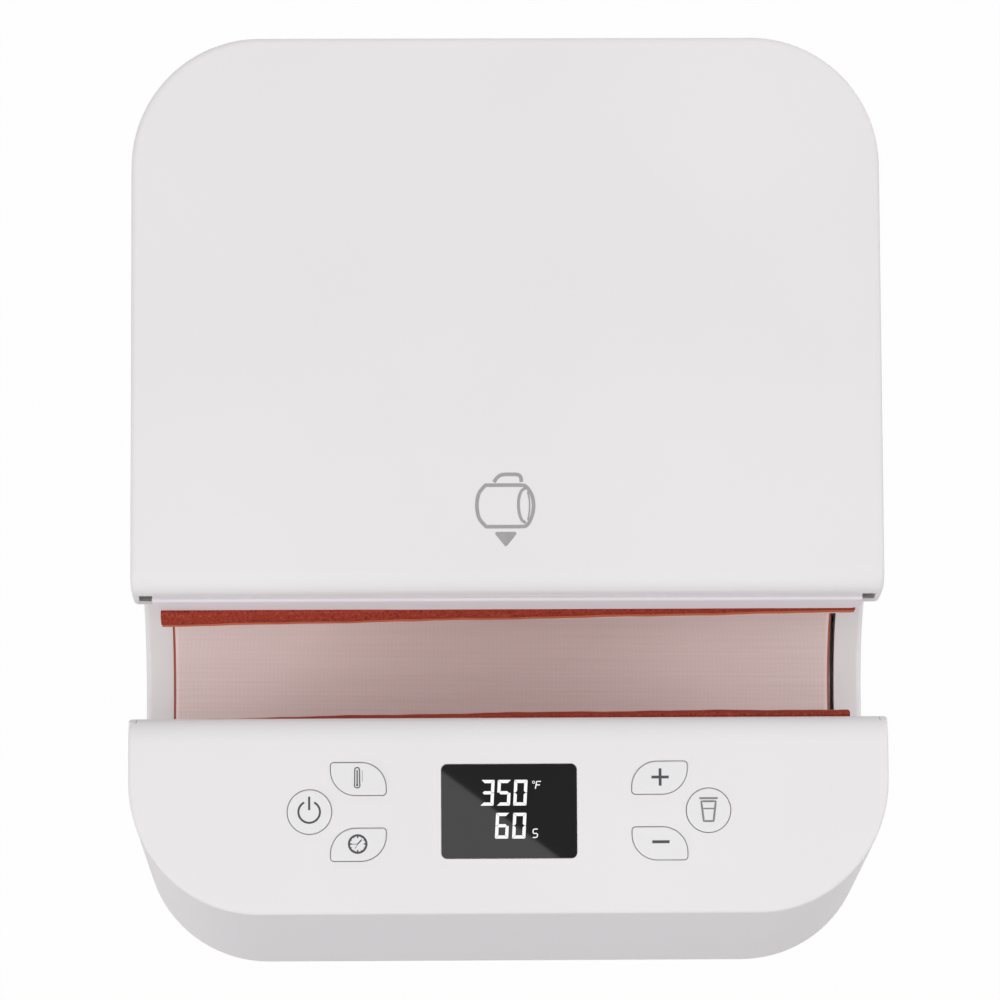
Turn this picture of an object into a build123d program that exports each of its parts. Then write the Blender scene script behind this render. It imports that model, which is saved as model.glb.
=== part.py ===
from build123d import *
import os
from math import acos, atan2, cos, degrees, hypot, radians, sin, tan

# Tumbler heat press. X runs to the right, Y to the rear, Z up. The origin lies under the middle
# of the body, on the surface that the feet stand on. Lengths are in millimetres, angles in degrees.

# Housing
body_width = 273.0
body_depth = 314.0
front_height = 107.0
top_slope = 10.0
plan_radius = 47.0
bottom_radius = 5.0
wall = 2.5
foot_height = 2.0
panel_skirt = 4.0
panel_edge = 1.5
seam_gap = 0.3
cover_inset = 0.5
cover_skirt = 19.0
cover_edge = 2.2
cover_lip_radius = 8.5
cover_lip_drop = 8.3
skirt_corner = 4.0

# Slot and cavity. Setbacks are measured from the front or from the sides of the body, and the axis of
# the cavity lies a little above the middle between the floor and the top.
slot_setback = 91.5
slot_width = 41.0
slot_edge_radius = 9.0
cavity_lift = 1.18
cavity_radius = 41.0
lip_angle = 26.0
cloth_thickness = 0.6
heater_thickness = 1.2
foam_thickness = 6.2
shell_thickness = 1.5
pad_setback = 11.0
pad_end_gap = 0.5
port_margin = 2.0
port_setback = 4.0
port_edge = 2.0
port_nose = 2.0
collar_thickness = 4.5

# Jaw, its hinge and its lip
jaw_travel = 12.0
split_angle = -30.0
split_gap = 0.3
split_play = 0.5
hinge_radius = 60.0
rod_radius = 3.0
rod_setback = 3.5
eye_radius = 8.0
bush_wall = 1.4
running_gap = 0.05
fit = 0.2
arm_thickness = 6.0
arm_side_gap = 11.0
arm_window_radius = 8.0
lip_setback = 7.8
lip_wall = 2.5
lip_ledge = 1.0
lip_slant = 0.5
lip_round = 1.2
lip_corner = 4.0
lip_top_gap = 1.9
lip_seat = 0.36
apron_thickness = 2.0
cover_lip_gap = 2.5

# Sector and pinion
gear_module = 1.5
sector_teeth = 76
pinion_teeth = 12
pressure_angle = 20.0
backlash = 0.24
mesh_angle = 40.0
sector_addendum = 0.7
sector_dedendum = 1.3
pinion_addendum = 1.0
pinion_dedendum = 1.0
pinion_width = 8.0
shaft_radius = 4.0
shaft_overhang = 8.0
bearing_width = 6.0
bearing_eye = 10.0
bearing_foot = 36.0
block_window_width = 12.0
block_window_height = 28.0
motor_side_gap = 2.3
motor_radius = 18.5
motor_length = 42.0
gearbox_length = 19.0
can_step = 1.0
motor_boss_radius = 6.0
motor_shaft_radius = 3.0
motor_screw_circle = 13.0
motor_shaft_depth = 6.0
shaft_end_gap = 1.0
motor_foot = 36.0
motor_flange = 16.0
bracket_plate = 3.0
coupler_space = 16.2
coupler_radius = 7.0
coupler_length = 15.0
end_chamfer = 0.5

# Keys and display, measured up the sloping face from its front edge
key_row = 36.5
round_key_radius = 7.85
round_key_x = 71.5
leaf_width = 19.7
leaf_height = 11.6
leaf_x = 54.0
leaf_rise = 11.75
leaf_round = 9.0
leaf_point = 1.2
key_gap = 0.3
key_proud = 0.5
key_edge = 0.4
key_rim = 0.8
key_rim_thickness = 1.0
stem_radius = 1.6
window_width = 48.8
window_height = 34.0
window_radius = 2.2
window_thickness = 1.2
window_ledge = 1.5
board_depth = 11.0
board_thickness = 1.6
board_width = 186.0
board_cradle_gap = 1.13
board_start = 12.5
board_corner = 5.0
switch_size = 6.2
switch_height = 4.2

# Fasteners
screw_radius = 1.45
screw_hole = 1.55
head_radius = 2.75
head_height = 1.8
post_radius = 4.5
post_bore = 3.3
post_top = 60.0
post_floor = 5.0
boss_radius = 4.0
screw_reach = 12.0

# Places of posts and feet, measured in from the sides, the front, the slot and the rear
panel_post_side = 22.5
panel_post_setback = 30.0
middle_post_x = 40.0
middle_post_setback = 8.2
cheek_post_side = 18.5
cheek_post_gap = 52.0
rear_post_side = 24.5
rear_post_setback = 28.0
foot_side = 37.0
foot_setback = 38.0
foot_radius = 9.0
foot_rubber = 0.9
foot_screw_length = 7.0

# Supports on the floor
flange_thickness = 3.0
flange_width = 16.0
saddle_x = 80.0
saddle_width = 8.0
saddle_foot = 54.0
saddle_flare = 3.0
saddle_height = 16.0
saddle_screw_spacing = 40.0
bracket_setback = 7.0
bracket_width = 6.0
bracket_foot = 24.0
bracket_screw_spacing = 14.0
block_screw_spacing = 24.0

# Mains inlet and power board
inlet_x = 60.0
inlet_height = 34.0
inlet_width = 27.0
inlet_tall = 19.5
inlet_depth = 27.0
inlet_wall = 2.0
inlet_socket = 17.0
inlet_flange_width = 50.0
inlet_flange_tall = 22.5
inlet_corner = 5.0
inlet_screw_spacing = 40.0
pin_spacing = 7.0
pin_rise = 4.0
pin_length = 13.0
power_board_width = 130.0
power_board_length = 62.0
board_post_height = 6.0
vent_length = 34.0
vent_width = 3.2
vent_pitch = 8.0
vent_x = 32.0
transformer_x = -30.0
transformer_width = 28.0
transformer_depth = 26.0
transformer_height = 22.0
capacitor_x = 2.0
capacitor_spacing = 20.0
capacitor_radius = 8.0
capacitor_height = 24.0
relay_x = 32.0
relay_width = 19.0
relay_depth = 15.5
relay_height = 15.0
cutout_x = 25.0
cutout_radius = 8.0
cutout_height = 5.0
cutout_tab = 24.0

# How far a cutting outline runs past what it cuts
past = 5.0

slope = radians(top_slope)
half_depth = body_depth / 2
half_width = body_width / 2
slot_y = slot_setback - half_depth
slot_front = slot_y - slot_width / 2
slot_rear = slot_y + slot_width / 2
floor_top = foot_height + wall
heater_radius = cavity_radius + cloth_thickness
foam_radius = heater_radius + heater_thickness
shell_radius = foam_radius + foam_thickness + fit
shell_outer = shell_radius + shell_thickness
port_radius = cavity_radius + port_margin
pad_length = body_width - 2 * pad_setback
collar_depth = pad_setback - pad_end_gap
cover_front = slot_rear + cover_lip_gap
first_lip = 90.0 + lip_angle
last_lip = 90.0 - lip_angle
lip_length = body_width - 2 * lip_setback
rod_length = pad_length - 2 * rod_setback
bracket_x = rod_length / 2 - bracket_setback

# The drive is laid out inwards from the motor, which stands by the right wall
motor_face_x = half_width - wall - motor_side_gap - motor_length
shaft_length = 2 * (motor_face_x - coupler_space)
bearing_spacing = shaft_length - 2 * shaft_overhang
arm_spacing = bearing_spacing - 2 * arm_side_gap


def polar(centre, radius, angle):
    return (centre[0] + radius * cos(radians(angle)), centre[1] + radius * sin(radians(angle)))


def top_height(y):
    return front_height + (y + half_depth) * tan(slope)


cavity_height = (floor_top + top_height(slot_y)) / 2 + cavity_lift
cavity = (slot_y, cavity_height)
hinge = polar(cavity, hinge_radius, split_angle)
sector_radius = gear_module * sector_teeth / 2
pinion_radius = gear_module * pinion_teeth / 2
drive = polar(hinge, sector_radius + pinion_radius, mesh_angle)
power_board_y = (drive[0] + motor_radius + half_depth - wall) / 2
cover_wall_bottom = top_height(cover_front) - cover_lip_drop
lip_top = cover_wall_bottom - lip_top_gap
lip_bottom = polar(cavity, shell_radius - fit, last_lip)[1] + lip_seat
top_normal = (0, -sin(slope), cos(slope))
top_plane = Plane(origin=(0, -half_depth, front_height), x_dir=(1, 0, 0), z_dir=top_normal)


# The control board ends short of the cradle, whose axis is taken on the sloping face
cradle_axis = top_plane.to_local_coords(Vector(0, cavity[0], cavity[1]))
board_rise = cradle_axis.Z + board_depth + board_thickness
board_end = cradle_axis.Y - ((shell_outer + board_cradle_gap) ** 2 - board_rise ** 2) ** 0.5
board_height = board_end - board_start


def on_top(across, along, depth=0.0):
    # A plane parallel to the sloping face, at a place on it and a depth below it
    place = top_plane.from_local_coords((across, along, -depth))
    return Plane(origin=place, x_dir=top_plane.x_dir, z_dir=top_plane.z_dir)


def side_profile(points):
    # A closed outline of the side view, drawn with Y along and Z up
    with BuildSketch() as profile:
        with BuildLine():
            Polyline(*points, close=True)
        make_face()
    return profile.sketch


def rounded_profile(points, corner, radius):
    # The same with one corner rounded
    with BuildSketch() as profile:
        with BuildLine():
            Polyline(*points, close=True)
        make_face()
        fillet(profile.vertices().sort_by_distance(corner)[0], radius)
    return profile.sketch


def band(centre, inner, outer, first, last):
    # A band of the side view about a centre, between two angles
    with BuildSketch() as ring:
        with BuildLine():
            CenterArc(centre, inner, first, last - first)
            CenterArc(centre, outer, first, last - first)
            Line(polar(centre, inner, first), polar(centre, outer, first))
            Line(polar(centre, inner, last), polar(centre, outer, last))
        make_face()
    return ring.sketch


def wedge(first, last):
    # The part of the side view near the split, seen from the hinge between two angles
    reach = 1.6 * (hinge_radius - cavity_radius)
    with BuildSketch() as sector:
        with BuildLine():
            Polyline(hinge, polar(hinge, reach, first), polar(hinge, reach, last), close=True)
        make_face()
    return sector.sketch


def cap_pocket(inset, profile):
    # The inside of a cap: the plan outline moved in, under a side outline
    with BuildPart() as pocket:
        with BuildSketch(Plane.XY.offset(foot_height)):
            RectangleRounded(body_width - 2 * inset, body_depth - 2 * inset, plan_radius - inset)
        extrude(amount=2 * front_height)
        with BuildSketch(Plane.YZ):
            add(profile)
        extrude(amount=body_width, both=True, mode=Mode.INTERSECT)
    return pocket.part


def cap_bosses(places):
    # Screw bosses from just above the posts up into the skin of a cap
    with BuildPart() as bosses:
        for place in places:
            with BuildSketch(Plane.XY.offset(post_top + fit)):
                with Locations(place):
                    Circle(boss_radius)
            extrude(amount=top_height(place[1]) - wall / 2 - post_top - fit)
            with BuildSketch(Plane.XY.offset(post_top)):
                with Locations(place):
                    Circle(screw_hole)
            extrude(amount=screw_reach, mode=Mode.SUBTRACT)
    return bosses.part


def sloping_faces(part):
    return part.faces().filter_by(lambda f: f.normal_at().dot(top_plane.z_dir) > 0.999)


def rim_edges(cap, side, low, high):
    # The edges round the sloping face of a cap, and at both ends of its rolled edge, which lies
    # between two values of Y
    face = sloping_faces(cap).sort_by(SortBy.AREA)[-1]
    rim = [e for e in face.edges() if abs(e.center().X) > 1 or abs(e.center().Y) > half_depth - 3]
    ends = [e for e in cap.edges() if abs(abs(e.center().X) - side) < 0.01 and low < e.center().Y < high]
    return rim + ends


def across_x(middle, width):
    # The YZ plane at the left end of something that is centred on a place along X
    return Plane.YZ.offset(middle - width / 2)


# Base tub: a shell with ports in both sides and posts for the screws
neck_rear = slot_rear + port_setback
beyond = half_depth + past
tub_side = side_profile([
    (-beyond, 0),
    (beyond, 0),
    (beyond, top_height(beyond) - cover_skirt),
    (slot_y, top_height(slot_y) - cover_skirt),
    (slot_y, top_height(slot_y)),
    (-beyond, top_height(-beyond)),
])
front_side = rounded_profile([
    (-beyond, 0),
    (slot_front, 0),
    (slot_front, top_height(slot_front)),
    (-beyond, top_height(-beyond)),
], (slot_front, top_height(slot_front)), slot_edge_radius)


def panel_band(skirt):
    # The layer of the side view between the seam of the panel and some way above its top
    return side_profile([
        (-beyond, top_height(-beyond) - skirt),
        (slot_front + past, top_height(slot_front + past) - skirt),
        (slot_front + past, top_height(slot_front) + past),
        (-beyond, top_height(-beyond) + past),
    ])


def port_view():
    # The C-shaped opening of the side view: a bore, the slot above it and rounded noses between them
    front_nose = (slot_front, cavity_height + (port_radius ** 2 - (slot_front - slot_y) ** 2) ** 0.5)
    rear_nose = (neck_rear, cavity_height + (port_radius ** 2 - (neck_rear - slot_y) ** 2) ** 0.5)
    with BuildSketch() as view:
        with Locations(cavity):
            Circle(port_radius)
        add(side_profile([
            (slot_front, cavity_height),
            (neck_rear, cavity_height),
            (neck_rear, 2 * front_height),
            (slot_front, 2 * front_height),
        ]))
        for nose in (front_nose, rear_nose):
            fillet(view.vertices().sort_by_distance(nose)[0], port_nose)
    return view.sketch


def port_rims(tub):
    # The outer edges of the two C-shaped openings, which lie well inside the flat of each side
    outer = [e for e in tub.edges() if abs(abs(e.center().X) - half_width) < 0.01]
    near = [e for e in outer if abs(e.center().Y - slot_y) < port_radius]
    return [e for e in near if floor_top < e.center().Z < top_height(half_depth)]


panel_posts = [(side * (half_width - panel_post_side), panel_post_setback - half_depth) for side in (-1, 1)]
panel_posts += [(side * middle_post_x, middle_post_setback - half_depth) for side in (-1, 1)]
cover_posts = [(side * (half_width - cheek_post_side), slot_rear + cheek_post_gap) for side in (-1, 1)]
cover_posts += [(side * (half_width - rear_post_side), half_depth - rear_post_setback) for side in (-1, 1)]
foot_places = [(side * (half_width - foot_side), end * (half_depth - foot_setback))
               for side in (-1, 1) for end in (-1, 1)]


def paired(x, y, spacing):
    # Screws in pairs along Y, on the left and on the right
    return [(side * x, y + end * spacing / 2) for side in (-1, 1) for end in (-1, 1)]


# Screws of the supports that stand on the floor, and the stubs of the power board
saddle_screws = paired(saddle_x + saddle_width / 2 + 6, cavity[0], saddle_screw_spacing)
bracket_screws = paired(bracket_x - bracket_width / 2 - 6, hinge[0] + 2, bracket_screw_spacing)
block_screws = paired(bearing_spacing / 2 - bearing_width / 2 - 6, drive[0], block_screw_spacing)
motor_foot_screws = [(motor_face_x + 7, drive[0] + end * block_screw_spacing / 2) for end in (-1, 1)]
floor_screws_at = saddle_screws + bracket_screws + block_screws + motor_foot_screws
board_post_spacing = power_board_length - 2 * board_corner
board_posts = paired(power_board_width / 2 - board_corner, power_board_y, board_post_spacing)

with BuildPart() as base_tub:
    with BuildSketch(Plane.XY.offset(foot_height)):
        RectangleRounded(body_width, body_depth, plan_radius)
    extrude(amount=front_height + body_depth * tan(slope))
    fillet(base_tub.faces().sort_by(Axis.Z)[0].edges(), bottom_radius)
    offset(amount=-wall, openings=base_tub.faces().sort_by(Axis.Z)[-1])
    for side in (-1, 1):
        collar_middle = side * (half_width - collar_depth / 2)
        with BuildSketch(across_x(collar_middle, collar_depth)):
            with Locations(cavity):
                Circle(port_radius + collar_thickness)
        extrude(amount=collar_depth)
    with BuildSketch(Plane.YZ):
        add(port_view())
    extrude(amount=body_width, both=True, mode=Mode.SUBTRACT)
    fillet(port_rims(base_tub), min(port_edge, wall - 0.5))
    with BuildSketch(Plane.YZ):
        add(tub_side)
    extrude(amount=body_width, both=True, mode=Mode.INTERSECT)
    with BuildSketch(Plane.YZ):
        add(side_profile([
            (-beyond, top_height(-beyond) + past),
            (slot_front + past, top_height(slot_front) + past),
            (slot_front + past, cavity_height + port_radius / 2),
            (-beyond, cavity_height + port_radius / 2),
        ]))
        add(front_side, mode=Mode.SUBTRACT)
        add(panel_band(panel_skirt))
    extrude(amount=body_width, both=True, mode=Mode.SUBTRACT)
    # Posts that the caps are screwed to from below, and the stubs that carry feet and boards
    with BuildSketch(Plane.XY.offset(floor_top - 1)):
        with Locations(*panel_posts, *cover_posts):
            Circle(post_radius)
    extrude(amount=post_top - floor_top + 1)
    with BuildSketch(Plane.XY.offset(floor_top - 1)):
        with Locations(*foot_places, *board_posts):
            Circle(boss_radius)
    extrude(amount=board_post_height + 1)
    with BuildSketch(Plane.XY):
        with Locations(*panel_posts, *cover_posts):
            Circle(post_bore)
    extrude(amount=post_top - post_floor, mode=Mode.SUBTRACT)
    with BuildSketch(Plane.XY):
        with Locations(*panel_posts, *cover_posts):
            Circle(screw_hole)
    extrude(amount=post_top + 1, mode=Mode.SUBTRACT)
    with BuildSketch(Plane.XY):
        with Locations(*foot_places):
            Circle(screw_hole)
    extrude(amount=floor_top + board_post_height - 1, mode=Mode.SUBTRACT)
    with BuildSketch(Plane.XY.offset(foot_height + 0.6)):
        with Locations(*floor_screws_at, *board_posts):
            Circle(screw_hole)
    extrude(amount=board_post_height + wall, mode=Mode.SUBTRACT)
    # Air slots under the power board
    with BuildSketch(Plane.XY):
        for side in (-1, 1):
            with Locations((side * vent_x, power_board_y)):
                with GridLocations(0, vent_pitch, 1, 6):
                    SlotOverall(vent_length, vent_width)
    extrude(amount=floor_top + 1, mode=Mode.SUBTRACT)
    # Opening for the mains inlet, with countersinks for its screws
    with BuildSketch(Plane.XZ.offset(-half_depth - 1)):
        with Locations((inlet_x, inlet_height)):
            Rectangle(inlet_width + 2 * fit, inlet_tall + 2 * fit)
            with GridLocations(inlet_screw_spacing, 0, 2, 1):
                Circle(screw_hole)
    extrude(amount=wall + 2, mode=Mode.SUBTRACT)
    with BuildSketch(Plane.XZ.offset(-half_depth)):
        with Locations((inlet_x, inlet_height)):
            with GridLocations(inlet_screw_spacing, 0, 2, 1):
                Circle(head_radius + fit)
    extrude(amount=head_height, mode=Mode.SUBTRACT)

base_tub.part.label = "base_tub"


# Outlines of the keys, drawn about their own middle
def leaf_outline(grow, lean):
    # A leaf with two pointed corners and two round ones; lean says which diagonal is pointed
    with BuildSketch() as leaf:
        Rectangle(leaf_width + 2 * grow, leaf_height + 2 * grow)
        for turn in (1, -1):
            round_corner = (-turn * leaf_width, turn * lean * leaf_height)
            fillet(leaf.vertices().sort_by_distance(round_corner)[0], leaf_round + grow)
        for turn in (1, -1):
            pointed_corner = (turn * leaf_width, turn * lean * leaf_height)
            fillet(leaf.vertices().sort_by_distance(pointed_corner)[0], leaf_point + grow)
    return leaf.sketch


def round_outline(grow):
    with BuildSketch() as circle:
        Circle(round_key_radius + grow)
    return circle.sketch


key_places = {
    "power_key": (-round_key_x, key_row, 0),
    "mode_key": (round_key_x, key_row, 0),
    "temperature_key": (-leaf_x, key_row + leaf_rise, -1),
    "timer_key": (-leaf_x, key_row - leaf_rise, 1),
    "plus_key": (leaf_x, key_row + leaf_rise, 1),
    "minus_key": (leaf_x, key_row - leaf_rise, -1),
}


def key_outline(name, grow):
    lean = key_places[name][2]
    if lean == 0:
        return round_outline(grow)
    return leaf_outline(grow, lean)


# Control panel: a cap whose rear edge rolls down into the slot
panel_pocket = rounded_profile([
    (-half_depth + wall, 0),
    (slot_front - wall, 0),
    (slot_front - wall, top_height(slot_front - wall) - wall / cos(slope)),
    (-half_depth + wall, top_height(-half_depth + wall) - wall / cos(slope)),
], (slot_front - wall, top_height(slot_front - wall) - wall), slot_edge_radius - wall)
panel_wall_bottom = cavity_height + shell_outer * cos(radians(lip_angle)) + fit

with BuildPart() as control_panel:
    with BuildSketch(Plane.XY.offset(foot_height)):
        RectangleRounded(body_width, body_depth, plan_radius)
    extrude(amount=2 * front_height)
    with BuildSketch(Plane.YZ):
        add(front_side)
    extrude(amount=body_width, both=True, mode=Mode.INTERSECT)
    with BuildSketch(Plane.YZ):
        add(panel_band(panel_skirt - seam_gap))
    extrude(amount=body_width, both=True, mode=Mode.INTERSECT)
    fillet(rim_edges(control_panel, half_width, slot_front - slot_edge_radius, slot_front + 1), panel_edge)
    add(cap_pocket(wall, panel_pocket), mode=Mode.SUBTRACT)
    # The wall at the slot, which goes down between the sides of the tub
    drop_width = body_width - 2 * wall - 2 * fit
    with BuildSketch(Plane.YZ):
        add(side_profile([
            (slot_front - slot_edge_radius, panel_wall_bottom),
            (slot_front, panel_wall_bottom),
            (slot_front, top_height(slot_front)),
            (slot_front - slot_edge_radius, top_height(slot_front)),
        ]))
        add(front_side, mode=Mode.INTERSECT)
        add(panel_pocket, mode=Mode.SUBTRACT)
    extrude(amount=drop_width / 2, both=True)
    add(cap_bosses(panel_posts))
    # Stubs for the board
    with BuildSketch(on_top(0, board_start + board_height / 2, board_depth - fit)):
        with GridLocations(board_width - 2 * board_corner, board_height - 2 * board_corner, 2, 2):
            Circle(boss_radius - 1)
    extrude(amount=board_depth - fit - wall + 0.5)
    with BuildSketch(on_top(0, board_start + board_height / 2, board_depth)):
        with GridLocations(board_width - 2 * board_corner, board_height - 2 * board_corner, 2, 2):
            Circle(screw_hole)
    extrude(amount=board_depth - wall - 1, mode=Mode.SUBTRACT)
    # Openings of the display and the keys
    with BuildSketch(on_top(0, key_row, -1)):
        RectangleRounded(window_width, window_height, window_radius)
    extrude(amount=-1 - window_thickness, mode=Mode.SUBTRACT)
    with BuildSketch(on_top(0, key_row, -1)):
        Rectangle(window_width - 2 * window_ledge, window_height - 2 * window_ledge)
    extrude(amount=-2 - wall, mode=Mode.SUBTRACT)
    for key_name, (across, along, lean) in key_places.items():
        with BuildSketch(on_top(across, along, -1)):
            add(key_outline(key_name, key_gap))
        extrude(amount=-2 - wall, mode=Mode.SUBTRACT)

control_panel.part.label = "control_panel"

# Display window and the digit block behind it
with BuildPart() as display_window:
    with BuildSketch(on_top(0, key_row, window_thickness)):
        RectangleRounded(window_width - 2 * fit, window_height - 2 * fit, window_radius - fit)
    extrude(amount=window_thickness)

display_window.part.label = "display_window"

with BuildPart() as display_module:
    with BuildSketch(on_top(0, key_row, board_depth)):
        Rectangle(window_width - 2 * window_ledge - 1, window_height - 2 * window_ledge - 1)
    extrude(amount=board_depth - window_thickness - fit)

display_module.part.label = "display_module"

# Control board, its screws and the six push switches under the keys
with BuildPart() as control_board:
    with BuildSketch(on_top(0, board_start + board_height / 2, board_depth + board_thickness)):
        RectangleRounded(board_width, board_height, 2.0)
        with GridLocations(board_width - 2 * board_corner, board_height - 2 * board_corner, 2, 2):
            Circle(screw_hole, mode=Mode.SUBTRACT)
    extrude(amount=board_thickness)

control_board.part.label = "control_board"

with BuildPart() as board_screws:
    under_board = board_depth + board_thickness
    with BuildSketch(on_top(0, board_start + board_height / 2, under_board + head_height)):
        with GridLocations(board_width - 2 * board_corner, board_height - 2 * board_corner, 2, 2):
            Circle(head_radius)
    extrude(amount=head_height)
    with BuildSketch(on_top(0, board_start + board_height / 2, under_board)):
        with GridLocations(board_width - 2 * board_corner, board_height - 2 * board_corner, 2, 2):
            Circle(screw_radius)
    extrude(amount=board_thickness + 5)

board_screws.part.label = "board_screws"

switch_top = board_depth - switch_height
with BuildPart() as key_switches:
    for across, along, lean in key_places.values():
        with BuildSketch(on_top(across, along, board_depth)):
            Rectangle(switch_size, switch_size)
            Circle(stem_radius + fit, mode=Mode.SUBTRACT)
        extrude(amount=switch_height)

key_switches.part.label = "key_switches"


# Keys: cap, retaining rim and a stem that runs in its switch
def make_key(name):
    across, along, lean = key_places[name]
    with BuildPart() as key:
        with BuildSketch(on_top(across, along, wall)):
            add(key_outline(name, 0))
        extrude(amount=wall + key_proud)
        chamfer(sloping_faces(key).edges(), key_edge)
        with BuildSketch(on_top(across, along, wall + fit + key_rim_thickness)):
            add(key_outline(name, key_rim))
        extrude(amount=key_rim_thickness)
        with BuildSketch(on_top(across, along, wall + fit)):
            add(key_outline(name, 0))
        extrude(amount=fit)
        stem_tip = switch_top + 1.5
        with BuildSketch(on_top(across, along, stem_tip)):
            Circle(stem_radius)
        extrude(amount=stem_tip - wall - key_rim_thickness)
    key.part.label = name
    return key.part


keys = [make_key(name) for name in key_places]

# Rear cover: a cap with a rolled front lip, open at the front below the lip
cover_side = rounded_profile([
    (cover_front, 0),
    (beyond, 0),
    (beyond, top_height(beyond)),
    (cover_front, top_height(cover_front)),
], (cover_front, top_height(cover_front)), cover_lip_radius)
cover_pocket = rounded_profile([
    (cover_front + wall, 0),
    (half_depth - wall, 0),
    (half_depth - wall, top_height(half_depth - wall) - wall / cos(slope)),
    (cover_front + wall, top_height(cover_front + wall) - wall / cos(slope)),
], (cover_front + wall, top_height(cover_front + wall) - wall), cover_lip_radius - wall)
skirt_bottom = (cover_front, top_height(cover_front) - cover_skirt + seam_gap)
cover_outline = [
    skirt_bottom,
    (beyond, top_height(beyond) - cover_skirt + seam_gap),
    (beyond, top_height(beyond) + past),
    (cover_front, top_height(cover_front) + past),
]

with BuildPart() as rear_cover:
    with BuildSketch(Plane.XY.offset(foot_height)):
        cover_length = body_depth - 2 * cover_inset
        RectangleRounded(body_width - 2 * cover_inset, cover_length, plan_radius - cover_inset)
    extrude(amount=2 * front_height)
    with BuildSketch(Plane.YZ):
        add(cover_side)
    extrude(amount=body_width, both=True, mode=Mode.INTERSECT)
    with BuildSketch(Plane.YZ):
        add(side_profile(cover_outline))
    extrude(amount=body_width, both=True, mode=Mode.INTERSECT)
    cover_side_x = half_width - cover_inset
    fillet(rim_edges(rear_cover, cover_side_x, cover_front - 1, cover_front + cover_lip_radius), cover_edge)
    # The lower corners of the skirts are rounded
    with BuildSketch(Plane.YZ):
        add(rounded_profile(cover_outline, skirt_bottom, skirt_corner))
    extrude(amount=body_width, both=True, mode=Mode.INTERSECT)
    inside_inset = cover_inset + wall
    add(cap_pocket(inside_inset, cover_pocket), mode=Mode.SUBTRACT)
    # The front is open below the lip, between the side skirts
    with BuildSketch(Plane.YZ):
        add(side_profile([
            (cover_front - past, 0),
            (cover_front + wall + 1, 0),
            (cover_front + wall + 1, cover_wall_bottom),
            (cover_front - past, cover_wall_bottom),
        ]))
    extrude(amount=half_width - inside_inset, both=True, mode=Mode.SUBTRACT)
    add(cap_bosses(cover_posts))

rear_cover.part.label = "rear_cover"

# Screws of the two caps, deep in the posts
with BuildPart() as housing_screws:
    with BuildSketch(Plane.XY.offset(post_top - post_floor - head_height)):
        with Locations(*panel_posts, *cover_posts):
            Circle(head_radius)
    extrude(amount=head_height)
    with BuildSketch(Plane.XY.offset(post_top - post_floor)):
        with Locations(*panel_posts, *cover_posts):
            Circle(screw_radius)
    extrude(amount=post_floor + 10)

housing_screws.part.label = "housing_screws"

# Feet and their screws
with BuildPart() as rubber_feet:
    with BuildSketch(Plane.XY):
        with Locations(*foot_places):
            Circle(foot_radius)
    extrude(amount=foot_height)
    with BuildSketch(Plane.XY):
        with Locations(*foot_places):
            Circle(head_radius + fit)
    extrude(amount=foot_height - foot_rubber, mode=Mode.SUBTRACT)
    with BuildSketch(Plane.XY):
        with Locations(*foot_places):
            Circle(screw_hole)
    extrude(amount=foot_height, mode=Mode.SUBTRACT)

rubber_feet.part.label = "rubber_feet"

with BuildPart() as foot_screws:
    with BuildSketch(Plane.XY.offset(2 * fit)):
        with Locations(*foot_places):
            Circle(head_radius)
    extrude(amount=foot_height - foot_rubber - 2 * fit)
    with BuildSketch(Plane.XY.offset(foot_height - foot_rubber)):
        with Locations(*foot_places):
            Circle(screw_radius)
    extrude(amount=foot_screw_length)

foot_screws.part.label = "foot_screws"


# The pad: each layer is a band about the cavity, in a fixed part and a part on the jaw.
# The two parts are cut back from the split by a wedge about the hinge, as wide as the travel.
def fixed_layer(inner, outer, length):
    towards = 180.0 + split_angle
    with BuildPart() as layer:
        with BuildSketch(Plane.YZ):
            add(band(cavity, inner, outer, first_lip, 360.0 + split_angle + 5.0))
            add(wedge(towards - 50.0, towards + jaw_travel + split_play), mode=Mode.SUBTRACT)
        extrude(amount=length / 2, both=True)
    return layer.part


def jaw_layer(inner, outer, length, last):
    start = split_angle + degrees(split_gap / cavity_radius)
    with BuildPart() as layer:
        with BuildSketch(Plane.YZ):
            add(band(cavity, inner, outer, start, last))
        extrude(amount=length / 2, both=True)
    return layer.part


def label(part, name):
    part.label = name
    return part


shell_length = pad_length - 1.0
cloth_length = pad_length - 2.0
front_cloth = label(fixed_layer(cavity_radius, heater_radius, cloth_length), "front_cloth")
front_heater = label(fixed_layer(heater_radius, foam_radius, pad_length), "front_heater")
front_foam = label(fixed_layer(foam_radius, shell_radius - fit, pad_length), "front_foam")
front_cradle = label(fixed_layer(shell_radius, shell_outer, shell_length), "front_cradle")
jaw_cloth = label(jaw_layer(cavity_radius, heater_radius, cloth_length, last_lip), "jaw_cloth")
jaw_heater = label(jaw_layer(heater_radius, foam_radius, pad_length, last_lip), "jaw_heater")
jaw_foam = label(jaw_layer(foam_radius, shell_radius - fit, pad_length, last_lip), "jaw_foam")

# Jaw shell, stopped short behind the lip moulding, with holes for the lip's screws
shell_end = degrees(acos((slot_rear + lip_wall + fit - cavity[0]) / shell_radius)) - 0.3
lip_screw_angle = shell_end - 6.0
lip_screw_pitch = shell_length / 5
lip_screw_x = [step * lip_screw_pitch for step in range(-2, 3)]


def lip_screw_plane(x, radius):
    place = polar(cavity, radius, lip_screw_angle)
    outward = (0, cos(radians(lip_screw_angle)), sin(radians(lip_screw_angle)))
    return Plane(origin=(x, place[0], place[1]), x_dir=(1, 0, 0), z_dir=outward)


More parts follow.
